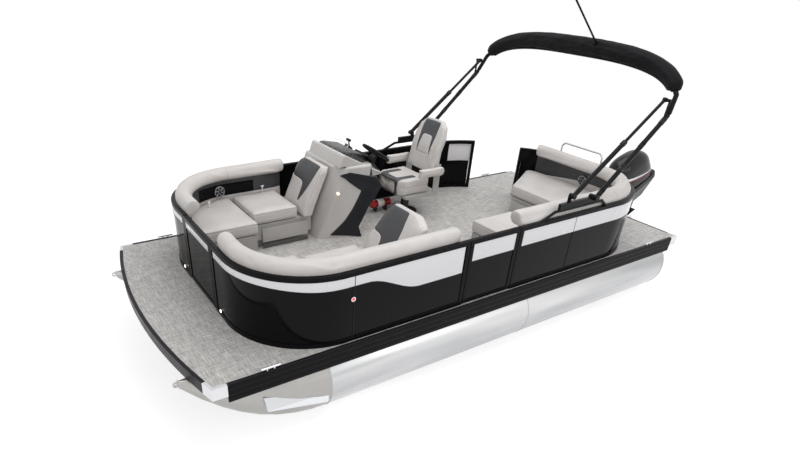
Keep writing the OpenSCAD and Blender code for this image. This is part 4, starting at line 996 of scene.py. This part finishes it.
# A dark recessed panel runs behind the bow speaker, and two white pull tabs stand by the seats.
recess = rounded(0.006, 0.118, 0.0028) + [-0.1035, 1.190]
line, normals = joined(turn_about((2.159, -0.55), 0.70, -58, -90), straight((2.159, -1.25), (1.86, -1.25)))
normals = np.where(line[:, :1] < 2.159, [[0.0, -1.0]], normals)
points, faces = tube_skin([sweep(line, normals, recess)])
shape("speaker_panel", points, faces, gloss, "boat")
tabs = []
for x, y, angle in ((2.430, -0.915, -52), (1.770, -1.120, -90)):
    across = np.array([-math.sin(math.radians(angle)), math.cos(math.radians(angle))])
    for wide, foot, head in ((0.010, 1.105, 1.170), (0.036, 1.168, 1.182)):
        outline = rounded(wide, 0.010, 0.003)
        tab = np.empty((4, len(outline), 3))
        tab[..., 0] = x + outline[:, 0] * across[0] - outline[:, 1] * across[1]
        tab[..., 1] = y + outline[:, 0] * across[1] + outline[:, 1] * across[0]
        tab[..., 2] = np.array([foot, foot + 0.003, head - 0.003, head])[:, None]
        tabs.append(tab)
points, faces = tube_skin(tabs)
shape("pull_tabs", points, faces, band_white, "boat")

# ---------------------------------------------------------------- helm console
# The console is a light grey-beige gelcoat moulding with a faceted port side. A dark angular
# panel is bolted over that side, from under the dash down to a foot on the deck.

gelcoat = coated("beige_gelcoat", (0.58, 0.56, 0.54), 0.22,
                 shades=(1.8, (0.55, 0.53, 0.51), (0.61, 0.59, 0.57)), uneven=(4, 0.16, 0.28),
                 bumps=(60, 0.04, 0.001), coat=0.5)
console_foot = np.array([[0, -1.2], [0, -0.72], [-0.04, -0.52], [-0.47, -0.37], [-0.50, -0.42],
                         [-0.50, -1.2]]) + [1.464, 0]
console_head = np.array([[-0.23, -1.15], [-0.23, -0.56], [-0.35, -0.43], [-0.60, -0.41],
                         [-0.63, -0.45], [-0.63, -1.15]]) + [1.464, 0]
console_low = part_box("console")[0]


def softened(corners, radius, steps=5):
    """A closed outline whose corners are turned by quadratic curves that start radius away."""
    before, after = np.roll(corners, 1, 0), np.roll(corners, -1, 0)
    to_before, to_after = before - corners, after - corners
    long_before = np.linalg.norm(to_before, axis=1, keepdims=True)
    long_after = np.linalg.norm(to_after, axis=1, keepdims=True)
    a = corners + to_before * np.minimum(radius / long_before, 0.48)
    b = corners + to_after * np.minimum(radius / long_after, 0.48)
    t = np.linspace(0, 1, steps)[None, :, None]
    curve = (1 - t) ** 2 * a[:, None] + 2 * t * (1 - t) * corners[:, None] + t ** 2 * b[:, None]
    return curve.reshape(-1, corners.shape[1])


levels = np.concatenate([[0, 0.004], np.linspace(0.03, 0.97, 22), [0.985, 0.995, 1.0]])
rows = []
for v in levels:
    outline = softened((1 - v) * console_foot + v * console_head, 0.028)
    middle = outline.mean(0)
    drawn = 0.012 * max(0, (v - 0.985) / 0.015) ** 2
    away = middle - outline
    outline = outline + drawn * away / np.linalg.norm(away, axis=1, keepdims=True)
    rows.append(np.column_stack([outline, np.full(len(outline), console_low.z + v * 0.75)]))
points, faces = tube_skin([np.array(rows)])
shape("console_shell", points, faces, gelcoat, "boat")
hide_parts("console")

# The port side as a ruled surface: s runs aft along it and v runs up it.
side_corners = [np.array([*console_foot[2], 0.73]), np.array([*console_foot[3], 0.73]),
                np.array([*console_head[2], 1.48]), np.array([*console_head[3], 1.48])]


def on_side(s, v, lift):
    """P = (1-v)((1-s) A + s B) + v((1-s) C + s D), raised by lift along the side's normal."""
    a, b, c, d = side_corners
    s, v, lift = [np.asarray(w)[..., None] for w in (s, v, lift)]
    normal = np.cross(b - a, c - a)
    normal = normal / np.linalg.norm(normal) * (1 if normal[1] > 0 else -1)
    return (1 - v) * ((1 - s) * a + s * b) + v * ((1 - s) * c + s * d) + lift * normal


panel_dark = coated("charcoal_panel", (0.018, 0.019, 0.023), 0.36, uneven=(6, 0.3, 0.42),
                    bumps=((500, (1, 1, 1), 2), 0.25, 0.0006), specular=0.25)
fore_edge = np.array([[-0.25, 0.894], [0.011, 0.851], [0.784, 0.662], [0.642, 0.414],
                      [0.516, 0.258], [0.254, 0.05]])
aft_edge = np.array([[0.112, 0.931], [1.327, 0.826], [1.508, 0.711], [1.10, 0.40],
                     [0.929, 0.152], [1.041, 0.006]])
stations = np.linspace(0, 5, 61)
fore = np.column_stack([np.interp(stations, range(6), fore_edge[:, k]) for k in (0, 1)])
aft = np.column_stack([np.interp(stations, range(6), aft_edge[:, k]) for k in (0, 1)])
across = np.concatenate([[0, 0], [0.02, 0.06, 0.14, 0.5, 0.86, 0.94, 0.98], [1, 1]])
lift = np.array([-0.020, 0.004, 0.0085, 0.011, 0.009, 0.004, 0.009, 0.011, 0.0085, 0.004, -0.020])
sv = fore[:, None] * (1 - across[None, :, None]) + aft[:, None] * across[None, :, None]
grid = on_side(sv[..., 0], sv[..., 1], np.broadcast_to(lift, sv.shape[:2]))
points, faces = tube_skin([grid])
shape("console_panel", points, faces, panel_dark, "boat")

warm_light = on_side(-0.003, 0.647, 0.0005)
light_facing = np.array([0.25, 0.96, 0.10])
points, faces = domes([(warm_light, light_facing)], 0.020, 0.005, 32)
shape("console_light_rim", points, faces, chrome, "boat")
points, faces = domes([(warm_light + 0.002 * light_facing, light_facing)], 0.0145, 0.0065, 28)
shape("console_light", points, faces, lens_finishes["warm"], "boat")

# The cowl over the dash slopes down aft from its crest; the instruments stand in a dark pod.
cowl_side = np.array([[1.225, 1.468], [1.178, 1.596], [1.150, 1.600], [0.700, 1.372],
                      [0.690, 1.345], [0.816, 1.331], [0.840, 1.400], [0.840, 1.468]])
dash_low, dash_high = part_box("dash")


def slab_across(outline, first_y, last_y, edge, steps=5):
    """An outline in x and z carried from first_y to last_y, drawn in at both ends on a quarter
    round: at depth d from an end the outline is moved inwards by edge - sqrt(edge^2 - (edge - d)^2).
    """
    turn = np.linspace(0, math.pi / 2, steps)
    depth = edge * (1 - np.cos(turn))
    drawn = edge * (1 - np.sin(turn))
    sign = np.sign(last_y - first_y)
    y = np.concatenate([first_y + sign * depth, (last_y - sign * depth)[::-1]])
    inset = np.concatenate([drawn, drawn[::-1]])
    along = np.roll(outline, -1, 0) - np.roll(outline, 1, 0)
    normal = np.column_stack([along[:, 1], -along[:, 0]])
    normal /= np.maximum(np.linalg.norm(normal, axis=1, keepdims=True), 1e-9)
    inward = -np.sign(((outline - outline.mean(0)) * normal).sum(1)).mean()
    rows = outline[None] + np.sign(inward) * inset[:, None, None] * normal[None]
    grid = np.empty(rows.shape[:2] + (3,))
    grid[..., 0], grid[..., 2] = rows[..., 0], rows[..., 1]
    grid[..., 1] = y[:, None]
    return grid


points, faces = tube_skin([slab_across(softened(cowl_side, 0.020), dash_high.y, dash_low.y, 0.014)])
shape("dash_cowl", points, faces, gelcoat, "boat")
pod_side = np.array([[1.150, 1.560], [1.120, 1.600], [1.080, 1.612], [0.900, 1.562], [0.885, 1.548],
                     [0.672, 1.372], [0.664, 1.350], [0.700, 1.338], [0.800, 1.345]])
pod_side[:, 1] = np.minimum(pod_side[:, 1], 1.5995)
dash_black = coated("dash_black", (0.008, 0.008, 0.009), 0.34, uneven=(8, 0.26, 0.42),
                    bumps=((600, (1, 1, 1), 2), 0.25, 0.0006), specular=0.25)
points, faces = tube_skin([slab_across(softened(pod_side, 0.014), -0.525, -1.035, 0.016)])
shape("dash_pod", points, faces, dash_black, "boat")
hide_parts("dash")

# Steering column boss between the dash and the wheel.
helm_centre = np.array([0.574, -0.76, 1.475])
tilt = math.radians(55)
helm_axis = np.array([-math.cos(tilt), 0, math.sin(tilt)])
helm_up = np.array([math.sin(tilt), 0, math.cos(tilt)])
helm_side = np.array([0, 1.0, 0])


def turned(name, centre, axis, side, up, profile, count, made, body):
    """A profile of (radius, distance along axis) turned round an axis through centre."""
    a = circle_of(count)
    r, t = np.array(profile, float).T
    grid = (centre + t[:, None, None] * axis + r[:, None, None] * (np.cos(a)[None, :, None] * side
            + np.sin(a)[None, :, None] * up))
    points, faces = tube_skin([grid])
    return shape(name, points, faces, made, body)


turned("helm_boss", helm_centre, helm_axis, helm_side, helm_up,
       [(0.046, -0.150), (0.046, -0.090), (0.042, -0.080), (0.036, -0.060), (0.030, -0.030), (0.024, -0.021)],
       40, dash_black, "boat")

# Gauges: black dials in chrome rings, with printed ticks made as relief, and a glass screen.
face_way = np.array([0.894 - 0.664, 0, 1.56 - 1.37])
face_way /= np.linalg.norm(face_way)
face_normal = np.array([-face_way[2], 0, face_way[0]])
dial = coated("gauge_face", (0.01, 0.01, 0.012), 0.15, uneven=(60, 0.1, 0.2))
needle = coated("gauge_marks", (0.75, 0.75, 0.76), 0.4, bumps=(200, 0.1, 0.0005))


def on_face(up, y, lift=0.0):
    """A place on the instrument face: up from its middle, across at y, raised by lift."""
    return np.array([0.779, y, 1.465]) + up * face_way + lift * face_normal


marks_points, marks_faces = [], []
for k, (up, y, radius) in enumerate(((0.050, -0.80, 0.036), (0.050, -0.885, 0.036),
                                     (0.050, -0.965, 0.030), (-0.045, -0.80, 0.024))):
    turned(f"gauge_{k}", on_face(up, y, 0.0005), face_normal, helm_side, face_way,
           [(radius * 0.86, 0.001), (radius * 0.86, 0.0045)], 40, dial, "boat")
    turned(f"gauge_ring_{k}", on_face(up, y, 0.0005), face_normal, helm_side, face_way,
           [(radius * 1.0, -0.002), (radius, 0.006), (radius * 0.96, 0.0085), (radius * 0.90, 0.0085),
            (radius * 0.86, 0.005)], 40, chrome, "boat")
    for m in range(9):
        angle = math.radians(-120 + 30 * m)
        out_way = math.sin(angle) * helm_side + math.cos(angle) * face_way
        cross = math.cos(angle) * helm_side - math.sin(angle) * face_way
        span = np.array([0.58, 0.78]) * radius
        section = rounded(0.0016, 0.0006, 0.0002, 2)
        grid = (on_face(up, y, 0.0053) + span[:, None, None] * out_way
                + section[None, :, :1] * cross + section[None, :, 1:] * face_normal)
        more, new = tube_skin([grid])
        marks_faces += [[i + len(marks_points) for i in f] for f in new]
        marks_points += more
shape("gauge_marks", marks_points, marks_faces, needle, "boat", smooth=False)

glass_dark = coated("screen_glass", (0.006, 0.007, 0.01), 0.06, uneven=(20, 0.04, 0.09))
wear("display", dash_black)
screen = np.array([[-0.052, -0.100], [-0.052, 0.100], [0.052, 0.100], [0.052, -0.100]])
outline = softened(screen, 0.008, 4)
rows = []
for lift, scale in ((0.0235, 1.0), (0.0252, 1.0), (0.0256, 0.985)):
    rows.append(on_face(0.055, -0.610) + outline[:, :1] * scale * face_way
                + outline[:, 1:] * scale * helm_side + lift * face_normal)
points, faces = tube_skin([np.array(rows)])
shape("screen", points, faces, glass_dark, "boat")
switches_points, switches_faces = [], []
for k in range(6):
    key = softened(np.array([[-0.014, -0.008], [-0.014, 0.008], [0.014, 0.008], [0.014, -0.008]]), 0.003, 3)
    rows = [on_face(-0.075, -0.56 - 0.027 * k) + key[:, :1] * w * face_way + key[:, 1:] * w * helm_side
            + h * face_normal for h, w in ((-0.001, 1.0), (0.004, 1.0), (0.006, 0.82))]
    more, new = tube_skin([np.array(rows)])
    switches_faces += [[i + len(switches_points) for i in f] for f in new]
    switches_points += more
shape("switches", switches_points, switches_faces, glass_dark, "boat")

acrylic = coated("clear_acrylic", (0.95, 0.96, 0.96), 0.02, bumps=(8, 0.02, 0.001), clear=0.97,
                 ior=1.06)
wear("windscreen", acrylic)
wing = np.array([[1.150, 1.597], [0.720, 1.378], [0.720, 1.392], [0.905, 1.505], [1.100, 1.640],
                 [1.140, 1.650]])
points, faces = tube_skin([slab_across(softened(wing, 0.008, 3), -0.462, -0.467, 0.001, 3)])
shape("windscreen_wing", points, faces, acrylic, "boat")

# ---------------------------------------------------------------- wheel and throttle
# A three-spoked wheel with a soft black rim, and a control lever with a grip on the dash.

rim_black = coated("rim_black", (0.008, 0.008, 0.009), 0.48, uneven=(10, 0.4, 0.56),
                   bumps=(350, 0.35, 0.0008), specular=0.25)
wear("steering_wheel", rim_black)
wear("throttle", rim_black)
turned("wheel_cap", helm_centre, helm_axis, helm_side, helm_up,
       [(0.033, 0.006), (0.032, 0.012), (0.026, 0.015), (0.012, 0.0165)], 40, spoke_grey, "wheel")

# ---------------------------------------------------------------- helm chair
# A high-backed bucket seat on a pedestal, padded all over, with charcoal insets and side
# bolsters. Its armrests are padded too, and swing up on their own pins.

chair_metal = coated("chair_metal", (0.05, 0.05, 0.055), 0.38, 0.7, uneven=(12, 0.3, 0.46),
                     bumps=(260, 0.15, 0.0006))
wear("chair_post", chair_metal)
chair_shell = coated("chair_shell", (0.46, 0.45, 0.435), 0.5, uneven=(10, 0.42, 0.58),
                     bumps=(320, 0.12, 0.0006))
wear("chair_frame", chair_shell)
chair_axis_y = -0.76
seat_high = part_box("chair_seat")[1]
back_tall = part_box("chair_back")[1]
chair_parts = {}
for node in ("chair_seat", "chair_back", "armrest_port", "armrest_starboard"):
    chair_parts["pad_" + node] = loose_parts(node)[0]
chair_pads = padded_pieces(chair_parts, cell=0.012, rounds=8, inward=0.007, outward=0.012)

piece = chair_pads["pad_chair_seat"]
p, n = coordinates(piece.data), normals_of(piece.data)
u = np.abs(p[:, 1] - chair_axis_y)
x = p[:, 0]
pad = -soft_blend(-(u - 0.095), -(x - 0.330))
inset = soft_blend(soft_blend(0.170 - u, seat_high.x - 0.020 - x), soft_blend(x - 0.110, pad))
top = (n[:, 2] > 0.1) | (n[:, 0] > 0.5)
inset = np.where(top, inset, -0.05)
seam = np.minimum(np.abs(inset), np.where(n[:, 2] > 0.3, np.abs(u - 0.182), 1))
seam = np.minimum(seam, np.abs(p[:, 2] - 1.105))
sew(piece, seam, inset, body="chair", depth=0.005)
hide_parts("chair_seat")

piece = chair_pads["pad_chair_back"]
p, n = coordinates(piece.data), normals_of(piece.data)
u = np.abs(p[:, 1] - chair_axis_y)
z = p[:, 2]
pad = -soft_blend(-(u - 0.080 - 0.12 * np.clip(1.60 - z, 0, 1)), -(z - 1.600))
border = soft_blend(0.132 - u - 0.10 * np.clip(1.60 - z, 0, 1), back_tall.z - 0.035 - z)
inset = soft_blend(soft_blend(border, pad, 0.006), z - 1.300)
inset = np.where(n[:, 0] > 0.05, inset, -0.05)
seam = np.minimum(np.abs(inset), np.where(n[:, 0] > 0.2, np.abs(u - 0.182), 1))
seam = np.minimum(seam, np.where((n[:, 0] > 0.2) & (u < 0.09), np.abs(z - 1.40), 1))
sew(piece, seam, inset, body="chair", depth=0.005)
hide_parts("chair_back")

for label in ("port", "starboard"):
    piece = chair_pads["pad_armrest_" + label]
    p = coordinates(piece.data)
    sew(piece, np.abs(p[:, 2] - 1.288), body=label + "_armrest", depth=0.003)
    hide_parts("armrest_" + label)

# ---------------------------------------------------------------- extinguisher
# A red steel bottle with a plain white band lies in two cradles on the deck, held by black
# straps, with a bright collar and a black squeeze valve at its forward end.

bottle_red, nodes, links, shader = finish("bottle_red", (0.46, 0.012, 0.012), 0.22)
spread(bottle_red, grain(bottle_red, 8), 0.16, 0.28, "Roughness")
shader.inputs["Coat Weight"].default_value = 0.4
place, height = nodes.new("ShaderNodeTexCoord"), nodes.new("ShaderNodeSeparateXYZ")
above_cradle = nodes.new("ShaderNodeMath")
above_cradle.operation = "GREATER_THAN"
above_cradle.inputs[1].default_value = 0.786
two = nodes.new("ShaderNodeMix")
two.data_type = "RGBA"
two.inputs["A"].default_value = (0.010, 0.010, 0.011, 1)
two.inputs["B"].default_value = (0.46, 0.012, 0.012, 1)
links.new(place.outputs["Object"], height.inputs[0])
links.new(height.outputs["Z"], above_cradle.inputs[0])
links.new(above_cradle.outputs[0], two.inputs["Factor"])
links.new(two.outputs["Result"], shader.inputs["Base Color"])
wear("extinguisher", bottle_red)
bottle_middle = np.array([0.240, -0.900, 0.822])
bow_way, port_way, up_way = np.array([1.0, 0, 0]), np.array([0, 1.0, 0]), np.array([0, 0, 1.0])
band_plain = coated("plain_band", (0.78, 0.77, 0.75), 0.38, bumps=(160, 0.1, 0.0005))
turned("bottle_band", bottle_middle, bow_way, port_way, up_way,
       [(0.0422, 0.095), (0.0427, 0.096), (0.0427, 0.179), (0.0422, 0.180)], 56, band_plain, "boat")
for k, start in enumerate((0.052, 0.192)):
    turned(f"bottle_strap_{k}", bottle_middle, bow_way, port_way, up_way,
           [(0.0425, start), (0.0445, start + 0.001), (0.0445, start + 0.015), (0.0425, start + 0.016)],
           56, rim_black, "boat")
turned("bottle_collar", bottle_middle, bow_way, port_way, up_way,
       [(0.0145, 0.286), (0.0185, 0.288), (0.0185, 0.300), (0.0150, 0.304), (0.0150, 0.318)],
       36, chrome, "boat")
lever = rounded(0.016, 0.005, 0.002, 4)
parts = []
for rise, reach, drop in ((0.016, 0.060, 0.010), (-0.006, 0.052, -0.006)):
    t = np.linspace(0, 1, 14)
    centre = np.column_stack([0.555 - reach * 1.5 * t, np.full(14, -0.900),
                              0.822 + rise + drop * np.sin(t * 2.2)])
    grid = np.repeat(centre[:, None], len(lever), 1)
    grid[..., 1] += lever[None, :, 0]
    grid[..., 2] += lever[None, :, 1]
    parts.append(grid)
points, faces = tube_skin(parts)
shape("bottle_levers", points, faces, rim_black, "boat")

# ---------------------------------------------------------------- bimini frame
# The folded bimini stands on black anodised bows with sleeves and collars at their joints,
# braced by telescopic struts. Its pivots sit on raised rails along the fence.

anodised = coated("black_anodised", (0.006, 0.006, 0.007), 0.3, uneven=(14, 0.24, 0.38),
                  bumps=((300, (1, 1, 0.1), 2), 0.08, 0.0005), specular=0.12)
for node in ("bimini_mounts", "bimini_bows", "bimini_arch", "bimini_struts", "bimini_rods", "light_pole"):
    wear(node, anodised)

bow_pivot = np.array([-0.516, 0, 1.460])
bow_side = 1.270
leg_reach, crown_reach = 1.000, 1.430
leg_tilt, crown_curl = 42.0, 8.0
arch_power = 2 / 3


def on_bows(y, s, h):
    """A place on the bows: s along them from their pivots, h square to them. Their tilt grows
    from 42 degrees at the legs' tops to 50 at the crown, in proportion to s."""
    tilt = np.radians(leg_tilt + crown_curl * np.clip((s - leg_reach) / (crown_reach - leg_reach), 0, 1))
    return np.stack(np.broadcast_arrays(bow_pivot[0] - s * np.cos(tilt) + h * np.sin(tilt), y,
                                        bow_pivot[2] + s * np.sin(tilt) + h * np.cos(tilt)), -1)


def sleeve(name, start, end, profile, made, body, count=32):
    """Collars turned round the line from start to end; profile is (radius, distance along it)."""
    start, end = np.array(start, float), np.array(end, float)
    way = (end - start) / np.linalg.norm(end - start)
    side = np.cross(way, [0, 1.0, 0])
    side /= np.linalg.norm(side)
    return turned(name, start, way, side, np.cross(way, side), profile, count, made, body)


for side, label in ((1, "port"), (-1, "starboard")):
    foot, head = on_bows(side * bow_side, 0.0, 0.0), on_bows(side * bow_side, 1.0, 0.0)
    for k, along in enumerate((0.070, 0.360, 0.640, 0.930)):
        sleeve(f"bow_collar_{label}_{k}", foot, head,
               [(0.0225, along - 0.034), (0.0245, along - 0.032), (0.0245, along - 0.004),
                (0.0230, along - 0.002), (0.0230, along + 0.002), (0.0245, along + 0.004),
                (0.0245, along + 0.032), (0.0225, along + 0.034)],
               rim_black if k % 2 else anodised, "bimini")

strut_way = np.array([-0.789811741, 0, 0.613349341])
for side, label in ((1, "port"), (-1, "starboard")):
    foot = np.array([-0.246, side * 1.218, 1.500])
    sleeve("strut_collar_" + label, foot, foot + strut_way,
           [(0.0225, 0.652), (0.0255, 0.655), (0.0255, 0.690), (0.0240, 0.694), (0.0240, 0.699),
            (0.0156, 0.7015)], rim_black, "struts")

# ---------------------------------------------------------------- bimini boot
# The folded canopy is zipped into a black acrylic canvas boot that hangs along the arch. It is
# a little slack, so it puckers lengthwise and gathers at its two ends.

canvas, nodes, links, shader = finish("black_canvas", (0.010, 0.010, 0.011), 0.85)
shader.inputs["Specular IOR Level"].default_value = 0.12
place = nodes.new("ShaderNodeTexCoord")
warp_thread = nodes.new("ShaderNodeTexWave")
warp_thread.bands_direction = "X"
warp_thread.inputs["Scale"].default_value = 160
weft_thread = nodes.new("ShaderNodeTexWave")
weft_thread.bands_direction = "Z"
weft_thread.inputs["Scale"].default_value = 160
threads = nodes.new("ShaderNodeMath")
threads.operation = "ADD"
links.new(place.outputs["Object"], warp_thread.inputs["Vector"])
links.new(place.outputs["Object"], weft_thread.inputs["Vector"])
links.new(warp_thread.outputs["Fac"], threads.inputs[0])
links.new(weft_thread.outputs["Fac"], threads.inputs[1])
relief(canvas, threads.outputs[0], 0.25, 0.0006)
tint(canvas, grain(canvas, 7), (0.007, 0.007, 0.008), (0.014, 0.014, 0.016))
shader.inputs["Sheen Weight"].default_value = 0.05

boot_start, boot_end = math.radians(20.5), math.radians(159.5)
boot_radius = 0.095
rows, columns = 300, 96
share = np.linspace(0, 1, rows)
t = boot_start + (boot_end - boot_start) * share
arch_y = bow_side * np.sign(np.cos(t)) * np.abs(np.cos(t)) ** arch_power
arch_s = leg_reach + (crown_reach - leg_reach) * np.sin(t) ** arch_power
spine = on_bows(arch_y, arch_s, 0.0)
steps = np.linalg.norm(np.diff(spine, axis=0), axis=1)
length = np.concatenate([[0], np.cumsum(steps)])
even = np.linspace(0, length[-1], rows)
spine = np.column_stack([np.interp(even, length, spine[:, k]) for k in range(3)])
share = even / length[-1]
way = np.gradient(spine, axis=0)
way /= np.linalg.norm(way, axis=1, keepdims=True)
outward = np.cross(np.cross(way, [0.0, 0, 1.0]), way)
outward /= np.linalg.norm(outward, axis=1, keepdims=True)
binormal = np.cross(way, outward)
phi = circle_of(columns)
s, a = np.meshgrid(share, phi, indexing="ij")
# r = R(s) * (1 + puckers): long low folds that wander round the boot, short cross creases, and
# a gathered neck at each end where the folds deepen.
girth = 0.70 + 0.28 * np.sin(np.pi * np.clip(s, 0, 1)) ** 0.5
neck = np.exp(-(np.minimum(s, 1 - s) / 0.012) ** 2)
folds = (0.020 * np.sin(5 * a + 9 * s + 1.3 * np.sin(23 * s))
         + 0.016 * np.sin(9 * a - 14 * s + 0.8 * np.sin(41 * s + 2 * a))
         + 0.011 * np.sin(3 * a + 61 * s + 1.7 * np.sin(17 * s))
         + 0.008 * np.sin(2 * a - 97 * s + 2.2 * np.sin(11 * s + a))
         + 0.006 * np.sin(7 * a + 143 * s))
r = boot_radius * girth * (0.955 + folds * (0.6 + 0.9 * (np.cos(a - 0.6) < 0)) - 0.34 * neck
                           + 0.05 * neck * np.sin(14 * a))
r = np.minimum(r, boot_radius * girth * 1.03)
grid = (spine[:, None] + (r * np.cos(a))[..., None] * outward[:, None]
        + (r * np.sin(a))[..., None] * binormal[:, None])
points, faces = tube_skin([grid])
boot = shape("boot", points, faces, canvas, "bimini")
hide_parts("bimini_boot")

# The zip runs along the underside in a flat placket.
zip_angle = math.radians(200)
index = np.arange(6, rows - 6)
radius = boot_radius * (0.70 + 0.28 * np.sin(np.pi * share[index]) ** 0.5) * 0.985
turned_out = math.cos(zip_angle) * outward[index] + math.sin(zip_angle) * binormal[index]
across = -math.sin(zip_angle) * outward[index] + math.cos(zip_angle) * binormal[index]
placket = rounded(0.034, 0.006, 0.0025, 4)
grid = (spine[index][:, None] + (radius[:, None] + placket[None, :, 1])[..., None] * turned_out[:, None]
        + placket[None, :, :1] * across[:, None])
points, faces = tube_skin([grid])
shape("boot_placket", points, faces, canvas, "bimini")

# ---------------------------------------------------------------- anchor light and stern rail
# A slim black pole carries the all-round light. A polished stainless rail guards the stern
# corner on two welded feet.

lens_clear = coated("lens_clear", (0.8, 0.82, 0.84), 0.1, uneven=(20, 0.06, 0.14),
                    bumps=(200, 0.15, 0.0006))
pole = loose_parts("light_pole")[0][0]
lamp_head = pole[pole[:, 2] > pole[:, 2].max() - 0.030].mean(0)
lamp_way = lamp_head - pole[pole[:, 2] < pole[:, 2].min() + 0.030].mean(0)
lamp_way /= np.linalg.norm(lamp_way)
lamp_side = np.array([0, 1.0, 0])
turned("pole_lens", lamp_head, lamp_way, lamp_side, np.cross(lamp_way, lamp_side),
       [(0.0172, -0.018), (0.0182, -0.016), (0.0182, 0.010), (0.0172, 0.012)], 40, lens_clear,
       "bimini")
wear("stern_rail", chrome)
rail_low, rail_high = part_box("stern_rail")
for k, y in enumerate((rail_low.y + 0.018, rail_high.y - 0.018)):
    turned(f"rail_foot_{k}", np.array([(rail_low.x + rail_high.x) / 2, y, rail_low.z]), up_way, bow_way,
           port_way, [(0.0165, 0.0003), (0.0175, 0.0015), (0.0165, 0.006), (0.0130, 0.009), (0.0122, 0.013)],
           32, chrome, "boat")

# ---------------------------------------------------------------- outboard motor
# The outboard hangs on a clamp and swivel bracket of cast aluminium painted black. Its cowl is
# a gloss black moulding over a satin pan, with a bright flash down each side.

cast_black = coated("cast_black", (0.01, 0.01, 0.011), 0.4, uneven=(9, 0.32, 0.48),
                    bumps=(160, 0.2, 0.001), specular=0.30)
cowl_black = coated("cowl_gloss", (0.005, 0.005, 0.006), 0.1, uneven=(3, 0.07, 0.16), specular=0.15,
                    coat=0.4)
flash_silver = coated("flash_silver", (0.62, 0.63, 0.65), 0.25, 0.9, uneven=(14, 0.18, 0.32))
flash_red = coated("flash_red", (0.42, 0.01, 0.012), 0.25, uneven=(14, 0.18, 0.32))
for node in ("motor_clamp", "motor_swivel", "motor_leg", "motor_pan"):
    wear(node, cast_black)
wear("motor_pod", mill)
wear("engine_block", cast_black)
wear("propeller", bright)

tilt_pin = np.array([-2.740, 0, 0.600])
trim = math.radians(24)


def trimmed(points):
    """Turns points of the upright motor about its tilt pin by the trim angle."""
    x, y, z = np.moveaxis(np.asarray(points, float), -1, 0)
    return np.stack([tilt_pin[0] + x * math.cos(trim) + z * math.sin(trim), y,
                     tilt_pin[2] - x * math.sin(trim) + z * math.cos(trim)], -1)


# The cowl: at height h from 0 to 1 its plan is a superellipse |x/a|^n + |y/b|^n = 1, whose
# centre, half length a, half width b and power n all follow smooth curves of h.
h = np.concatenate([np.linspace(0, 0.82, 34), 1 - 0.18 * np.cos(np.linspace(0.08, 1.52, 22)) ** 1.0])
h = np.sort(np.clip(h, 0, 0.9995))
cowl_base, cowl_top = 0.080, 0.500
dome = np.sqrt(np.clip(1 - np.clip((h - 0.55) / 0.45, 0, 1) ** 2.6, 0, 1))
half_long = (0.325 - 0.030 * h) * (0.12 + 0.88 * dome)
half_wide = (0.178 - 0.035 * h ** 2) * (0.10 + 0.90 * dome)
centre_x = -0.445 + 0.040 * h - 0.06 * (1 - dome) * h
power = 3.4 - 1.0 * h
b = circle_of(120)
cosine, sine = np.cos(b)[None], np.sin(b)[None]
x = centre_x[:, None] + half_long[:, None] * np.sign(cosine) * np.abs(cosine) ** (2 / power[:, None])
y = half_wide[:, None] * np.sign(sine) * np.abs(sine) ** (2 / power[:, None])
z = cowl_base + (cowl_top - cowl_base) * h[:, None] + 0.045 * (x - centre_x[:, None]) * h[:, None] / 0.3
shoulder = 0.006 * np.exp(-((h[:, None] - 0.30 - 0.10 * cosine) / 0.035) ** 2)
y = y - np.sign(y) * shoulder * (np.abs(sine) > 0.3)
cowl_grid = np.stack([x, y, np.broadcast_to(z, x.shape)], -1)
points, faces = tube_skin([trimmed(cowl_grid)])
cowl = shape("cowl", points, faces, cowl_black, "motor")
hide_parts("motor_cowl")


def flash(name, lows, highs, made, lift):
    """A stripe laid on both sides of the cowl: between two heights that change along its length."""
    pieces = []
    u = np.linspace(-0.70, -0.18, 60)
    for side in (1, -1):
        rows = []
        low, high = np.interp(u, *lows), np.interp(u, *highs)
        for w in (0.0, 0.15, 0.5, 0.85, 1.0):
            target = low + (high - low) * w
            hh = np.clip((target - cowl_base) / (cowl_top - cowl_base), 0, 1)
            a_ = np.interp(hh, h, half_long)
            b_ = np.interp(hh, h, half_wide)
            c_ = np.interp(hh, h, centre_x)
            n_ = np.interp(hh, h, power)
            inside = np.clip(1 - np.abs((u - c_) / a_) ** n_, 0, 1) ** (1 / n_)
            z_ = target + 0.045 * (u - c_) * hh / 0.3
            rows.append(np.stack([u, side * (b_ * inside + lift * (0.2 if w in (0.0, 1.0) else 1)), z_], -1))
        inner = [row - [0, side * 0.004, 0] for row in (rows[-1], rows[0])]
        pieces.append(np.moveaxis(np.array(rows + inner), 0, 1))
    points, faces = tube_skin([trimmed(grid) for grid in pieces])
    return shape(name, points, faces, made, "motor")


flash("cowl_flash", ([-0.70, -0.45, -0.18], [0.160, 0.192, 0.240]),
      ([-0.70, -0.45, -0.18], [0.172, 0.216, 0.276]), flash_silver, 0.0022)
flash("cowl_flash_low", ([-0.70, -0.45, -0.18], [0.146, 0.176, 0.222]),
      ([-0.70, -0.45, -0.18], [0.153, 0.184, 0.231]), flash_red, 0.0022)
